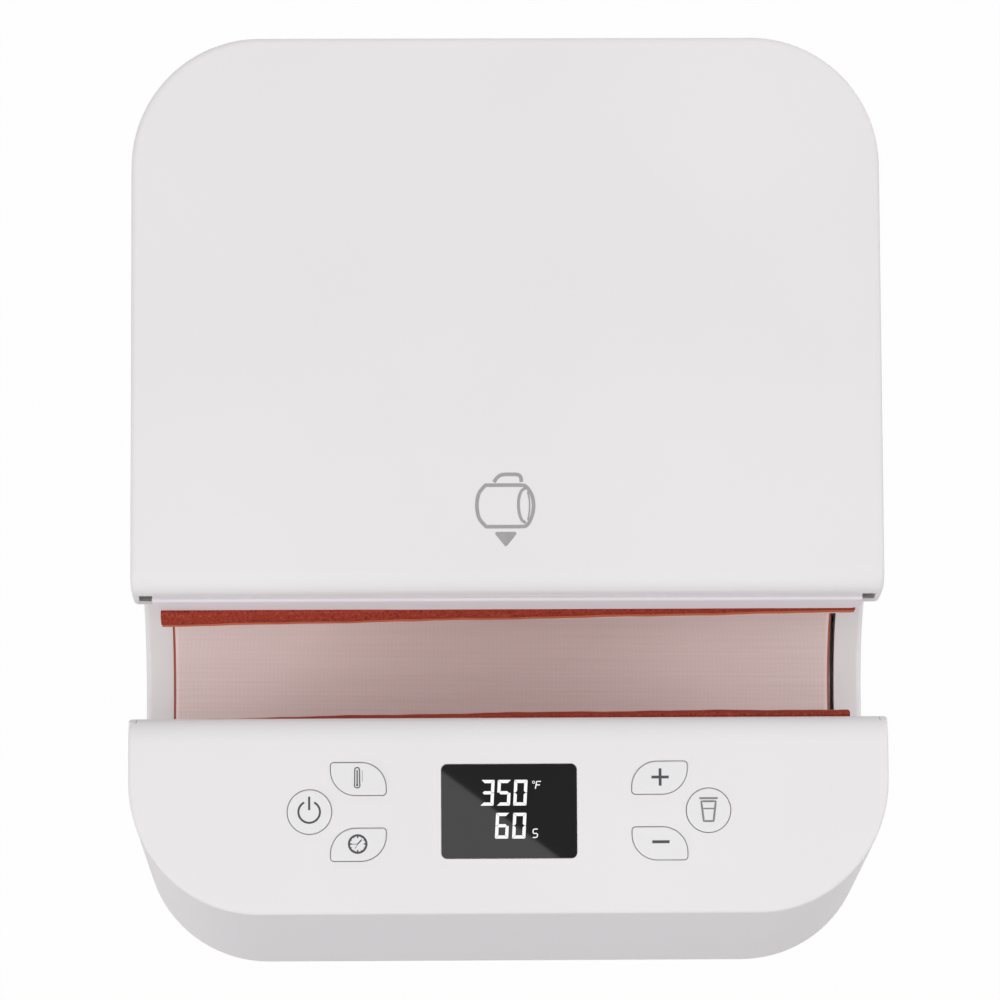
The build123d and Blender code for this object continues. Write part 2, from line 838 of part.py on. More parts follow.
with BuildPart() as jaw_shell:
    add(jaw_layer(shell_radius, shell_outer, shell_length, shell_end))
    for x in lip_screw_x:
        with BuildSketch(lip_screw_plane(x, shell_radius - 1)):
            Circle(screw_hole)
        extrude(amount=shell_thickness + 2, mode=Mode.SUBTRACT)

jaw_shell.part.label = "jaw_shell"

# Lip moulding: leaning front plate, apron that turns about the hinge, and a foot on the shell
foot_inner = shell_outer + fit
foot_outer = foot_inner + apron_thickness
apron_rim = (slot_rear + lip_wall, lip_top)
apron_outer = hypot(apron_rim[0] - hinge[0], apron_rim[1] - hinge[1])
apron_start = degrees(atan2(apron_rim[1] - hinge[1], apron_rim[0] - hinge[0])) + 0.7
apron_sweep = jaw_travel + 3.0

with BuildPart() as jaw_lip:
    with BuildSketch(Plane.YZ):
        add(rounded_profile([
            apron_rim,
            (slot_rear + lip_ledge, lip_top),
            (slot_rear - lip_slant, lip_bottom),
            (slot_rear - lip_slant + lip_wall, lip_bottom),
        ], (slot_rear + lip_ledge, lip_top), lip_round))
    extrude(amount=lip_length / 2, both=True)
    with BuildSketch(Plane.XZ) as lip_front_view:
        with Locations((0, (lip_bottom + lip_top) / 2)):
            Rectangle(lip_length, lip_top - lip_bottom)
        corner = min(lip_corner, 0.9 * (lip_top - lip_bottom))
        fillet(lip_front_view.vertices().group_by(Axis.Y)[0], corner)
    extrude(amount=body_depth, both=True, mode=Mode.INTERSECT)
    with BuildSketch(Plane.YZ):
        add(band(hinge, apron_outer - apron_thickness, apron_outer, apron_start - apron_sweep, apron_start))
    extrude(amount=lip_length / 2, both=True)
    with BuildSketch(Plane.YZ):
        add(band(cavity, foot_inner, foot_outer, shell_end - 12.0, shell_end + 3.5))
    extrude(amount=shell_length / 2, both=True)
    for x in lip_screw_x:
        with BuildSketch(lip_screw_plane(x, foot_inner - 1)):
            Circle(screw_hole)
        extrude(amount=2 * apron_thickness, mode=Mode.SUBTRACT)

jaw_lip.part.label = "jaw_lip"

with BuildPart() as jaw_screws:
    for x in lip_screw_x:
        with BuildSketch(lip_screw_plane(x, foot_outer)):
            Circle(head_radius - 0.3)
        extrude(amount=head_height)
        with BuildSketch(lip_screw_plane(x, shell_radius)):
            Circle(screw_radius)
        extrude(amount=foot_outer - shell_radius)

jaw_screws.part.label = "jaw_screws"


# Gear teeth with involute flanks, as faces in the YZ plane about a centre
def tooth_points(centre, pitch_radius, teeth, root, tip, middle):
    base = pitch_radius * cos(radians(pressure_angle))
    pressure = radians(pressure_angle)
    half_pitch = degrees((gear_module * radians(90) - backlash) / 2 / pitch_radius)
    rising = []
    falling = []
    steps = 4
    for step in range(steps + 1):
        radius = root + (tip - root) * step / steps
        here = acos(min(1.0, base / radius))
        half = half_pitch + degrees(tan(pressure) - pressure - tan(here) + here)
        rising.append(polar(centre, radius, middle - half))
        falling.append(polar(centre, radius, middle + half))
    return rising + falling[::-1]


sector_root = sector_radius - sector_dedendum * gear_module
sector_tip = sector_radius + sector_addendum * gear_module
sector_pitch = 360.0 / sector_teeth
pinion_root = pinion_radius - pinion_dedendum * gear_module
pinion_tip = pinion_radius + pinion_addendum * gear_module
pinion_pitch = 360.0 / pinion_teeth
teeth_below = int(jaw_travel / sector_pitch) + 2
sector_low = mesh_angle - (teeth_below + 0.6) * sector_pitch
sector_high = mesh_angle + 1.6 * sector_pitch
saddle_angle = 38.0
bush_radius = rod_radius + running_gap + bush_wall


# Jaw arms: hinge eye, saddle on the shell and toothed sector
def make_arm(name, x):
    low_end = polar(hinge, sector_root, sector_low)
    high_end = polar(hinge, sector_root, sector_high)
    eye_side = polar(hinge, eye_radius, -60.0)
    seat = shell_radius - 2 * shell_thickness
    with BuildPart() as arm:
        with BuildSketch(across_x(x, arm_thickness)):
            with BuildLine():
                Line(eye_side, low_end)
                ThreePointArc(low_end, polar(hinge, sector_root, (sector_low + sector_high) / 2), high_end)
                Polyline(
                    high_end,
                    polar(cavity, shell_outer + 2 * shell_thickness, saddle_angle),
                    polar(cavity, seat, saddle_angle),
                    polar(cavity, seat, split_angle + jaw_travel),
                    polar(hinge, eye_radius / 2, 150.0),
                    eye_side,
                )
            make_face()
            with Locations(hinge):
                Circle(eye_radius)
            with Locations(cavity):
                Circle(shell_outer + fit / 2, mode=Mode.SUBTRACT)
            with Locations(polar(hinge, sector_root * 0.62, mesh_angle + 8)):
                Circle(arm_window_radius, mode=Mode.SUBTRACT)
            with Locations(hinge):
                Circle(bush_radius, mode=Mode.SUBTRACT)
            for tooth in range(-teeth_below, 2):
                middle = mesh_angle + tooth * sector_pitch
                with BuildLine():
                    root = sector_root - 2 * fit
                    points = tooth_points(hinge, sector_radius, sector_teeth, root, sector_tip, middle)
                    Polyline(*points, close=True)
                make_face()
        extrude(amount=arm_thickness)
    arm.part.label = name
    return arm.part


jaw_arm_left = make_arm("jaw_arm_left", -arm_spacing / 2)
jaw_arm_right = make_arm("jaw_arm_right", arm_spacing / 2)

with BuildPart() as jaw_bushes:
    for side in (-1, 1):
        with BuildSketch(across_x(side * arm_spacing / 2, arm_thickness + 1)):
            with Locations(hinge):
                Circle(bush_radius)
                Circle(rod_radius + running_gap, mode=Mode.SUBTRACT)
        extrude(amount=arm_thickness + 1)

jaw_bushes.part.label = "jaw_bushes"

# Hinge rod and the brackets that hold it
with BuildPart() as hinge_rod:
    with BuildSketch(across_x(0, rod_length)):
        with Locations(hinge):
            Circle(rod_radius)
    extrude(amount=rod_length)
    chamfer(hinge_rod.edges().filter_by(GeomType.CIRCLE), end_chamfer)

hinge_rod.part.label = "hinge_rod"

with BuildPart() as hinge_brackets:
    for x in (-bracket_x, 0.0, bracket_x):
        with BuildSketch(across_x(x, bracket_width)):
            with BuildLine():
                Polyline(
                    (hinge[0] + 2 - bracket_foot / 2, floor_top),
                    (hinge[0] + 2 + bracket_foot / 2, floor_top),
                    polar(hinge, eye_radius, 0),
                    polar(hinge, eye_radius, 180),
                    close=True,
                )
            make_face()
            with Locations(hinge):
                Circle(eye_radius)
                Circle(rod_radius + running_gap / 2, mode=Mode.SUBTRACT)
        extrude(amount=bracket_width)
    with BuildSketch(Plane.XY.offset(floor_top)):
        for side in (-1, 1):
            with Locations((side * (bracket_x - flange_width / 2), hinge[0] + 2)):
                Rectangle(flange_width, bracket_foot)
        with Locations(*bracket_screws):
            Circle(screw_hole, mode=Mode.SUBTRACT)
    extrude(amount=flange_thickness)

hinge_brackets.part.label = "hinge_brackets"

# Saddles that carry the fixed half of the cavity
with BuildPart() as cradle_saddles:
    for side in (-1, 1):
        with BuildSketch(across_x(side * saddle_x, saddle_width)):
            add(side_profile([
                (cavity[0] - saddle_foot / 2, floor_top),
                (cavity[0] + saddle_foot / 2, floor_top),
                (cavity[0] + saddle_foot / 2 + saddle_flare, floor_top + saddle_height),
                (cavity[0] - saddle_foot / 2 - saddle_flare, floor_top + saddle_height),
            ]))
            with Locations(cavity):
                Circle(shell_outer + fit / 2, mode=Mode.SUBTRACT)
        extrude(amount=saddle_width)
    with BuildSketch(Plane.XY.offset(floor_top)):
        for side in (-1, 1):
            with Locations((side * (saddle_x + flange_width / 2), cavity[0])):
                Rectangle(flange_width, saddle_foot)
        with Locations(*saddle_screws):
            Circle(screw_hole, mode=Mode.SUBTRACT)
    extrude(amount=flange_thickness)

cradle_saddles.part.label = "cradle_saddles"

# Drive shaft with its pinions, turning in bushes in two tall blocks
with BuildPart() as drive_shaft:
    with BuildSketch(across_x(0, shaft_length)):
        with Locations(drive):
            Circle(shaft_radius)
    extrude(amount=shaft_length)
    chamfer(drive_shaft.edges().filter_by(GeomType.CIRCLE), end_chamfer)

drive_shaft.part.label = "drive_shaft"

with BuildPart() as drive_pinions:
    for side in (-1, 1):
        with BuildSketch(across_x(side * arm_spacing / 2, pinion_width)):
            with Locations(drive):
                Circle(pinion_root)
            for tooth in range(pinion_teeth):
                middle = mesh_angle + 180.0 + (tooth + 0.5) * pinion_pitch
                with BuildLine():
                    root = pinion_root - 2 * fit
                    points = tooth_points(drive, pinion_radius, pinion_teeth, root, pinion_tip, middle)
                    Polyline(*points, close=True)
                make_face()
            with Locations(drive):
                Circle(shaft_radius, mode=Mode.SUBTRACT)
        extrude(amount=pinion_width)

drive_pinions.part.label = "drive_pinions"

shaft_bush_radius = shaft_radius + running_gap + bush_wall
with BuildPart() as shaft_bushes:
    for side in (-1, 1):
        with BuildSketch(across_x(side * bearing_spacing / 2, bearing_width)):
            with Locations(drive):
                Circle(shaft_bush_radius)
                Circle(shaft_radius + running_gap, mode=Mode.SUBTRACT)
        extrude(amount=bearing_width)

shaft_bushes.part.label = "shaft_bushes"

with BuildPart() as bearing_blocks:
    for side in (-1, 1):
        with BuildSketch(across_x(side * bearing_spacing / 2, bearing_width)):
            with BuildLine():
                Polyline(
                    (drive[0] - bearing_foot / 2, floor_top),
                    (drive[0] + bearing_foot / 2, floor_top),
                    polar(drive, bearing_eye, 0),
                    polar(drive, bearing_eye, 180),
                    close=True,
                )
            make_face()
            with Locations((drive[0], (floor_top + flange_thickness + drive[1] - bearing_eye) / 2)):
                SlotOverall(block_window_height, block_window_width, rotation=90, mode=Mode.SUBTRACT)
            with Locations(drive):
                Circle(bearing_eye)
                Circle(shaft_bush_radius, mode=Mode.SUBTRACT)
        extrude(amount=bearing_width)
    with BuildSketch(Plane.XY.offset(floor_top)):
        for side in (-1, 1):
            with Locations((side * (bearing_spacing / 2 - flange_width / 2), drive[0])):
                Rectangle(flange_width, bearing_foot)
        with Locations(*block_screws):
            Circle(screw_hole, mode=Mode.SUBTRACT)
    extrude(amount=flange_thickness)

bearing_blocks.part.label = "bearing_blocks"

# Gearmotor, its output shaft and the coupler
shaft_end = shaft_length / 2
output_start = shaft_end + shaft_end_gap
with BuildPart() as motor_output_shaft:
    with BuildSketch(Plane.YZ.offset(output_start)):
        with Locations(drive):
            Circle(motor_shaft_radius)
    extrude(amount=motor_face_x + motor_shaft_depth - output_start)

motor_output_shaft.part.label = "motor_output_shaft"

with BuildPart() as shaft_coupler:
    coupler_start = shaft_end - coupler_length / 3
    with BuildSketch(Plane.YZ.offset(coupler_start)):
        with Locations(drive):
            Circle(coupler_radius)
    extrude(amount=coupler_length)
    with BuildSketch(Plane.YZ.offset(coupler_start)):
        with Locations(drive):
            Circle(shaft_radius)
    extrude(amount=output_start - coupler_start, mode=Mode.SUBTRACT)
    with BuildSketch(Plane.YZ.offset(coupler_start)):
        with Locations(drive):
            Circle(motor_shaft_radius)
    extrude(amount=coupler_length, mode=Mode.SUBTRACT)

shaft_coupler.part.label = "shaft_coupler"

with BuildPart() as gearmotor:
    with BuildSketch(Plane.YZ.offset(motor_face_x)):
        with Locations(drive):
            Circle(motor_radius)
    extrude(amount=gearbox_length)
    with BuildSketch(Plane.YZ.offset(motor_face_x + gearbox_length)):
        with Locations(drive):
            Circle(motor_radius - can_step)
    extrude(amount=motor_length - gearbox_length)
    with BuildSketch(Plane.YZ.offset(motor_face_x)):
        with Locations(drive):
            Circle(motor_shaft_radius + fit)
            with PolarLocations(motor_screw_circle, 2):
                Circle(screw_hole)
    extrude(amount=motor_shaft_depth + 1, mode=Mode.SUBTRACT)

gearmotor.part.label = "gearmotor"

with BuildPart() as motor_bracket:
    with BuildSketch(Plane.YZ.offset(motor_face_x - bracket_plate)):
        with BuildLine():
            Polyline(
                (drive[0] - motor_foot / 2, floor_top),
                (drive[0] + motor_foot / 2, floor_top),
                polar(drive, motor_radius, 0),
                polar(drive, motor_radius, 180),
                close=True,
            )
        make_face()
        with Locations(drive):
            Circle(motor_radius)
            Circle(motor_boss_radius, mode=Mode.SUBTRACT)
            with PolarLocations(motor_screw_circle, 2):
                Circle(screw_hole, mode=Mode.SUBTRACT)
    extrude(amount=bracket_plate)
    with BuildSketch(Plane.XY.offset(floor_top)):
        with Locations((motor_face_x - bracket_plate + 1 + motor_flange / 2, drive[0])):
            Rectangle(motor_flange, motor_foot)
        with Locations(*motor_foot_screws):
            Circle(screw_hole, mode=Mode.SUBTRACT)
    extrude(amount=flange_thickness)

motor_bracket.part.label = "motor_bracket"

with BuildPart() as motor_screws:
    with BuildSketch(Plane.YZ.offset(motor_face_x - bracket_plate - head_height)):
        with Locations(drive):
            with PolarLocations(motor_screw_circle, 2):
                Circle(head_radius)
    extrude(amount=head_height)
    with BuildSketch(Plane.YZ.offset(motor_face_x - bracket_plate)):
        with Locations(drive):
            with PolarLocations(motor_screw_circle, 2):
                Circle(screw_radius)
    extrude(amount=bracket_plate + 4)

motor_screws.part.label = "motor_screws"

# Screws that hold saddles, brackets and blocks to the floor
with BuildPart() as floor_screws:
    with BuildSketch(Plane.XY.offset(floor_top + flange_thickness)):
        with Locations(*floor_screws_at):
            Circle(head_radius)
    extrude(amount=head_height)
    with BuildSketch(Plane.XY.offset(foot_height + 0.8)):
        with Locations(*floor_screws_at):
            Circle(screw_radius)
    extrude(amount=wall - 0.8 + flange_thickness)

floor_screws.part.label = "floor_screws"

# Power board on its stubs, with the large components
board_level = floor_top + board_post_height
with BuildPart() as power_board:
    with BuildSketch(Plane.XY.offset(board_level)):
        with Locations((0, power_board_y)):
            RectangleRounded(power_board_width, power_board_length, 2.0)
        with Locations(*board_posts):
            Circle(screw_hole, mode=Mode.SUBTRACT)
    extrude(amount=board_thickness)

power_board.part.label = "power_board"

board_face = board_level + board_thickness
with BuildPart() as power_board_screws:
    with BuildSketch(Plane.XY.offset(board_face)):
        with Locations(*board_posts):
            Circle(head_radius)
    extrude(amount=head_height)
    with BuildSketch(Plane.XY.offset(board_level - 4)):
        with Locations(*board_posts):
            Circle(screw_radius)
    extrude(amount=board_thickness + 4)

power_board_screws.part.label = "power_board_screws"

with BuildPart() as power_transformer:
    with BuildSketch(Plane.XY.offset(board_face)):
        with Locations((transformer_x, power_board_y)):
            Rectangle(transformer_width, transformer_depth)
    extrude(amount=transformer_height)
    fillet(power_transformer.edges().filter_by(Axis.Z), 3.0)

power_transformer.part.label = "power_transformer"

with BuildPart() as power_capacitors:
    with BuildSketch(Plane.XY.offset(board_face)):
        with Locations((capacitor_x, power_board_y)):
            with GridLocations(0, capacitor_spacing, 1, 2):
                Circle(capacitor_radius)
    extrude(amount=capacitor_height)
    chamfer(power_capacitors.faces().sort_by(Axis.Z)[-2:].edges(), 2 * end_chamfer)

power_capacitors.part.label = "power_capacitors"

with BuildPart() as power_relay:
    with BuildSketch(Plane.XY.offset(board_face)):
        with Locations((relay_x, power_board_y)):
            Rectangle(relay_width, relay_depth)
    extrude(amount=relay_height)

power_relay.part.label = "power_relay"

# Mains inlet, fastened to the rear wall from outside
flange_face = half_depth - wall
with BuildPart() as mains_inlet:
    with BuildSketch(Plane.XZ.offset(-flange_face)):
        with Locations((inlet_x, inlet_height)):
            RectangleRounded(inlet_flange_width, inlet_flange_tall, inlet_corner)
            with GridLocations(inlet_screw_spacing, 0, 2, 1):
                Circle(screw_hole, mode=Mode.SUBTRACT)
    extrude(amount=flange_thickness)
    with BuildSketch(Plane.XZ.offset(-half_depth + fit)):
        with Locations((inlet_x, inlet_height)):
            Rectangle(inlet_width, inlet_tall)
    extrude(amount=inlet_depth)
    fillet(mains_inlet.edges().filter_by(Axis.Y).sort_by_distance((inlet_x, half_depth, 0))[0:2], 3.0)
    with BuildSketch(Plane.XZ.offset(-half_depth)):
        with Locations((inlet_x, inlet_height)):
            Rectangle(inlet_width - 2 * inlet_wall, inlet_tall - 2 * inlet_wall)
    extrude(amount=inlet_socket, mode=Mode.SUBTRACT)

mains_inlet.part.label = "mains_inlet"

with BuildPart() as inlet_pins:
    with BuildSketch(Plane.XZ.offset(-half_depth + inlet_socket)):
        with Locations((inlet_x, inlet_height)):
            with Locations((-pin_spacing, -1.5), (0, pin_rise - 1.5), (pin_spacing, -1.5)):
                Rectangle(2.0, 4.0)
    extrude(amount=-pin_length)

inlet_pins.part.label = "inlet_pins"

with BuildPart() as inlet_screws:
    with BuildSketch(Plane.XZ.offset(-half_depth + fit)):
        with Locations((inlet_x, inlet_height)):
            with GridLocations(inlet_screw_spacing, 0, 2, 1):
                Circle(head_radius)
    extrude(amount=head_height - fit)
    with BuildSketch(Plane.XZ.offset(-half_depth + head_height)):
        with Locations((inlet_x, inlet_height)):
            with GridLocations(inlet_screw_spacing, 0, 2, 1):
                Circle(screw_radius)
    extrude(amount=wall - head_height + flange_thickness + 1.5)

inlet_screws.part.label = "inlet_screws"

# Thermal cut-outs: discs on the backs of the two half shells
def make_cutout(name, angle, x):
    place = polar(cavity, shell_outer + fit, angle)
    outward = (0, cos(radians(angle)), sin(radians(angle)))
    with BuildPart() as cutout:
        with BuildSketch(Plane(origin=(x, place[0], place[1]), x_dir=(1, 0, 0), z_dir=outward)):
            Circle(cutout_radius)
        extrude(amount=cutout_height)
        with BuildSketch(Plane(origin=(x, place[0], place[1]), x_dir=(1, 0, 0), z_dir=outward)):
            Rectangle(cutout_tab, cutout_radius)
        extrude(amount=cutout_height / 5)
    cutout.part.label = name
    return cutout.part


cradle_cutout = make_cutout("cradle_cutout", 215.0, cutout_x)
jaw_cutout = make_cutout("jaw_cutout", 20.0, cutout_x)

pieces = [
    base_tub.part, control_panel.part, rear_cover.part,
    housing_screws.part, rubber_feet.part, foot_screws.part,
    display_window.part, display_module.part, control_board.part, board_screws.part, key_switches.part,
    *keys,
    front_cradle, front_foam, front_heater, front_cloth, cradle_saddles.part, cradle_cutout,
    jaw_shell.part, jaw_foam, jaw_heater, jaw_cloth, jaw_lip.part, jaw_screws.part, jaw_cutout,
    jaw_arm_left, jaw_arm_right, jaw_bushes.part, hinge_rod.part, hinge_brackets.part,
    drive_shaft.part, drive_pinions.part, shaft_bushes.part, bearing_blocks.part, shaft_coupler.part,
    motor_output_shaft.part, gearmotor.part, motor_bracket.part, motor_screws.part, floor_screws.part,
    power_board.part, power_board_screws.part,
    power_transformer.part, power_capacitors.part, power_relay.part,
    mains_inlet.part, inlet_pins.part, inlet_screws.part,
]
os.makedirs("parts", exist_ok=True)
for piece in pieces:
    export_step(piece, f"parts/{piece.label}.step")
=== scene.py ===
import math
import bmesh
import bpy
import numpy as np
from mathutils import Matrix, Vector


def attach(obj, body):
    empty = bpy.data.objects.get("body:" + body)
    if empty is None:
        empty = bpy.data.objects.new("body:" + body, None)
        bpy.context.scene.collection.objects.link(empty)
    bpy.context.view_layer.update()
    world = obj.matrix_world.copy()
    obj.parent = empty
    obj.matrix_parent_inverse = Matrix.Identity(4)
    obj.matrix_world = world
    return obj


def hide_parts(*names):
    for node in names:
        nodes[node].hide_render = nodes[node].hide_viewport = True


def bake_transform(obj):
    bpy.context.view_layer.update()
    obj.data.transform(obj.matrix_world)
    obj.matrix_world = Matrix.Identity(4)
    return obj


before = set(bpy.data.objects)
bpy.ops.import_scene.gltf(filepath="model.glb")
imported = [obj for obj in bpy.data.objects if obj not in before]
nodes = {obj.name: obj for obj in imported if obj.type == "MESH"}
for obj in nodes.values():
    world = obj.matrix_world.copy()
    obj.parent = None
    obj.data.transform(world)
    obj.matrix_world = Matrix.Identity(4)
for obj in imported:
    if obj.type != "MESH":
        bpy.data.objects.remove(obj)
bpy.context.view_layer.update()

scene = bpy.context.scene
print("frame:", len(nodes), "nodes")

# Places shared by several pieces, in metres, in the frame of the housing
press = {
    "frontHeight": 0.107,  # of the front edge of the sloping top
    "halfDepth": 0.157,
    "slope": math.radians(10.0),
    "cavity": (-0.0655, 0.065),  # y and z of its axis
    "cavityRadius": 0.041,
}


def onTop(u, v, lift):
    # point = front edge + u * right + v * up the slope + lift * normal
    u, v, lift = np.broadcast_arrays(u, v, lift)
    c, s = math.cos(press["slope"]), math.sin(press["slope"])
    y = -press["halfDepth"] + v * c - lift * s
    z = press["frontHeight"] + v * s + lift * c
    return np.stack([u, y, z], -1)


def aboutCavity(radius, angle, x):
    # point = (x, cavity y + radius * cos(angle), cavity z + radius * sin(angle))
    radius, angle, x = np.broadcast_arrays(radius, angle, x)
    y = press["cavity"][0] + radius * np.cos(angle)
    z = press["cavity"][1] + radius * np.sin(angle)
    return np.stack([x, y, z], -1)


def meshFrom(name, points, faces, smooth=True):
    # one object from its points and its lists of corners, with its place in its mesh
    mesh = bpy.data.meshes.new(name)
    mesh.from_pydata(np.asarray(points).reshape(-1, 3).tolist(), [], faces)
    mesh.polygons.foreach_set("use_smooth", [smooth] * len(mesh.polygons))
    mesh.update()
    piece = bpy.data.objects.new(name, mesh)
    scene.collection.objects.link(piece)
    return piece


def gridFaces(rows, columns, closed=False):
    # quad (i, j) joins points i * columns + j and the next in its row to the same two of the next row
    i, j = np.meshgrid(np.arange(rows - 1), np.arange(columns if closed else columns - 1), indexing="ij")
    here, beside = i * columns + j, i * columns + (j + 1) % columns
    return np.stack([here, beside, beside + columns, here + columns], -1).reshape(-1, 4).tolist()


def giveUv(piece, uv):
    # uv holds one pair for each vertex, in metres along the surface
    layer = piece.data.uv_layers.new(name="surface")
    index = np.zeros(len(piece.data.loops), int)
    piece.data.loops.foreach_get("vertex_index", index)
    layer.data.foreach_set("uv", uv.reshape(-1, 2)[index].ravel())


def startMaterial(name):
    # a new material, its node tree and its shader
    material = bpy.data.materials.new(name)
    material.use_nodes = True
    tree = material.node_tree
    return material, tree, tree.nodes["Principled BSDF"]


def add(tree, kind, **values):
    # a node with its sockets or properties set by name
    node = tree.nodes.new(kind)
    for key, value in values.items():
        if key in node.inputs:
            node.inputs[key].default_value = value
        else:
            setattr(node, key, value)
    return node


def maths(tree, operation, *sources):
    # a Math node fed by sockets or plain numbers
    node = add(tree, "ShaderNodeMath", operation=operation)
    for socket, source in zip(node.inputs, sources):
        if isinstance(source, float):
            socket.default_value = source
        else:
            tree.links.new(source, socket)
    return node.outputs["Value"]


def ramp(tree, stops, source):
    # colour ramp: stops are (place, colour)
    node = tree.nodes.new("ShaderNodeValToRGB")
    while len(node.color_ramp.elements) < len(stops):
        node.color_ramp.elements.new(0.5)
    for element, (place, colour) in zip(node.color_ramp.elements, stops):
        element.position = place
        element.color = (*colour, 1.0)
    tree.links.new(source, node.inputs["Fac"])
    return node.outputs["Color"]


def remap(tree, source, low, high, start=0.0, end=1.0):
    # low where the source is start, high where it is end, and held beyond them
    values = {"From Min": start, "From Max": end, "To Min": low, "To Max": high}
    node = add(tree, "ShaderNodeMapRange", **values)
    tree.links.new(source, node.inputs["Value"])
    return node.outputs["Result"]


def noise(tree, vector, scale, detail=3.0, roughness=0.5):
    node = add(tree, "ShaderNodeTexNoise", Scale=scale, Detail=detail, Roughness=roughness)
    tree.links.new(vector, node.inputs["Vector"])
    return node.outputs["Fac"]


def scaled(tree, vector, scale):
    node = add(tree, "ShaderNodeMapping", Scale=scale)
    tree.links.new(vector, node.inputs["Vector"])
    return node.outputs["Vector"]


def objectVector(tree):
    return tree.nodes.new("ShaderNodeTexCoord").outputs["Object"]


def tint(tree, shader, stops, source, socket="Base Color"):
    # the shader's colour runs through the stops with the source
    tree.links.new(ramp(tree, stops, source), shader.inputs[socket])


def gloss(tree, shader, source, low, high, start=0.0, end=1.0):
    # the shader's roughness runs from low to high with the source
    tree.links.new(remap(tree, source, low, high, start, end), shader.inputs["Roughness"])


def relief(tree, shader, height, strength, distance):
    # fine bumps, distance in metres
    node = add(tree, "ShaderNodeBump", Strength=strength, Distance=distance)
    tree.links.new(height, node.inputs["Height"])
    tree.links.new(node.outputs["Normal"], shader.inputs["Normal"])


def brighter(colour, factor):
    # colour * factor, held at 1; a factor below 1 darkens
    return tuple(min(1.0, c * factor) for c in colour)


def mouldedPlastic(name, colour, roughness=0.38, grain=2600.0, drift=0.015, depth=0.00003, specular=0.45):
    # fine spark-eroded grain, slow drift of colour and gloss
    moulding = {"driftScale": 9.0, "glossSwing": 0.03, "relief": 0.35}
    material, tree, shader = startMaterial(name)
    vector = objectVector(tree)
    slow = noise(tree, vector, moulding["driftScale"], 2.0)
    tint(tree, shader, [(0.3, brighter(colour, 1 - drift)), (0.7, brighter(colour, 1 + drift))], slow)
    swing = moulding["glossSwing"]
    gloss(tree, shader, slow, roughness - swing, roughness + swing, 0.3, 0.7)
    relief(tree, shader, noise(tree, vector, grain, 2.0), moulding["relief"], depth)
    shader.inputs["Specular IOR Level"].default_value = specular
    return material


def workedMetal(name, colour, roughness, stretch, grain, stains=0.1):
    # rolled or turned metal: noise stretched along the working direction, with faint stains
    working = {"stainScale": 45.0, "smoother": 0.75, "rougher": 1.35, "relief": 0.4, "depth": 0.00004}
    material, tree, shader = startMaterial(name)
    vector = objectVector(tree)
    lines = noise(tree, scaled(tree, vector, stretch), grain, 4.0, 0.6)
    stain = noise(tree, vector, working["stainScale"])
    tint(tree, shader, [(0.35, brighter(colour, 1 - stains)), (0.65, colour)], stain)
    gloss(tree, shader, lines, roughness * working["smoother"], roughness * working["rougher"], 0.25, 0.75)
    relief(tree, shader, lines, working["relief"], working["depth"])
    shader.inputs["Metallic"].default_value = 1.0
    return material


def speckledFoam(name):
    # closed-cell silicone foam: a red mass, with dark pores where it is cut
    foam = {
        "pore": (0.045, 0.006, 0.004),
        "mass": (0.32, 0.036, 0.018),
        "pale": (0.42, 0.062, 0.032),
        "poreScale": 1150.0,
        "shut": 0.4,  # weight of each cell's own random number, so that some pores stay shut
        "unevenScale": 420.0,
        "uneven": 0.15,
        "relief": 0.6,
        "depth": 0.00025,
        "roughness": (0.72, 0.92),
        "specular": 0.25,
    }
    material, tree, shader = startMaterial(name)
    vector = objectVector(tree)
    cells = add(tree, "ShaderNodeTexVoronoi", Scale=foam["poreScale"], Randomness=1.0)
    tree.links.new(vector, cells.inputs["Vector"])
    large = noise(tree, vector, foam["unevenScale"], 4.0, 0.65)
    # level = distance to the cell's middle + shut * its random number + a little of the large noise
    level = maths(tree, "MULTIPLY_ADD", cells.outputs["Color"], foam["shut"], cells.outputs["Distance"])
    level = maths(tree, "ADD", level, remap(tree, large, -foam["uneven"], foam["uneven"], 0.25, 0.75))
    stops = [(0.31, foam["pore"]), (0.43, foam["mass"]), (0.85, foam["mass"]), (1.0, foam["pale"])]
    tint(tree, shader, stops, level)
    relief(tree, shader, level, foam["relief"], foam["depth"])
    gloss(tree, shader, large, *foam["roughness"])
    shader.inputs["Specular IOR Level"].default_value = foam["specular"]
    return material


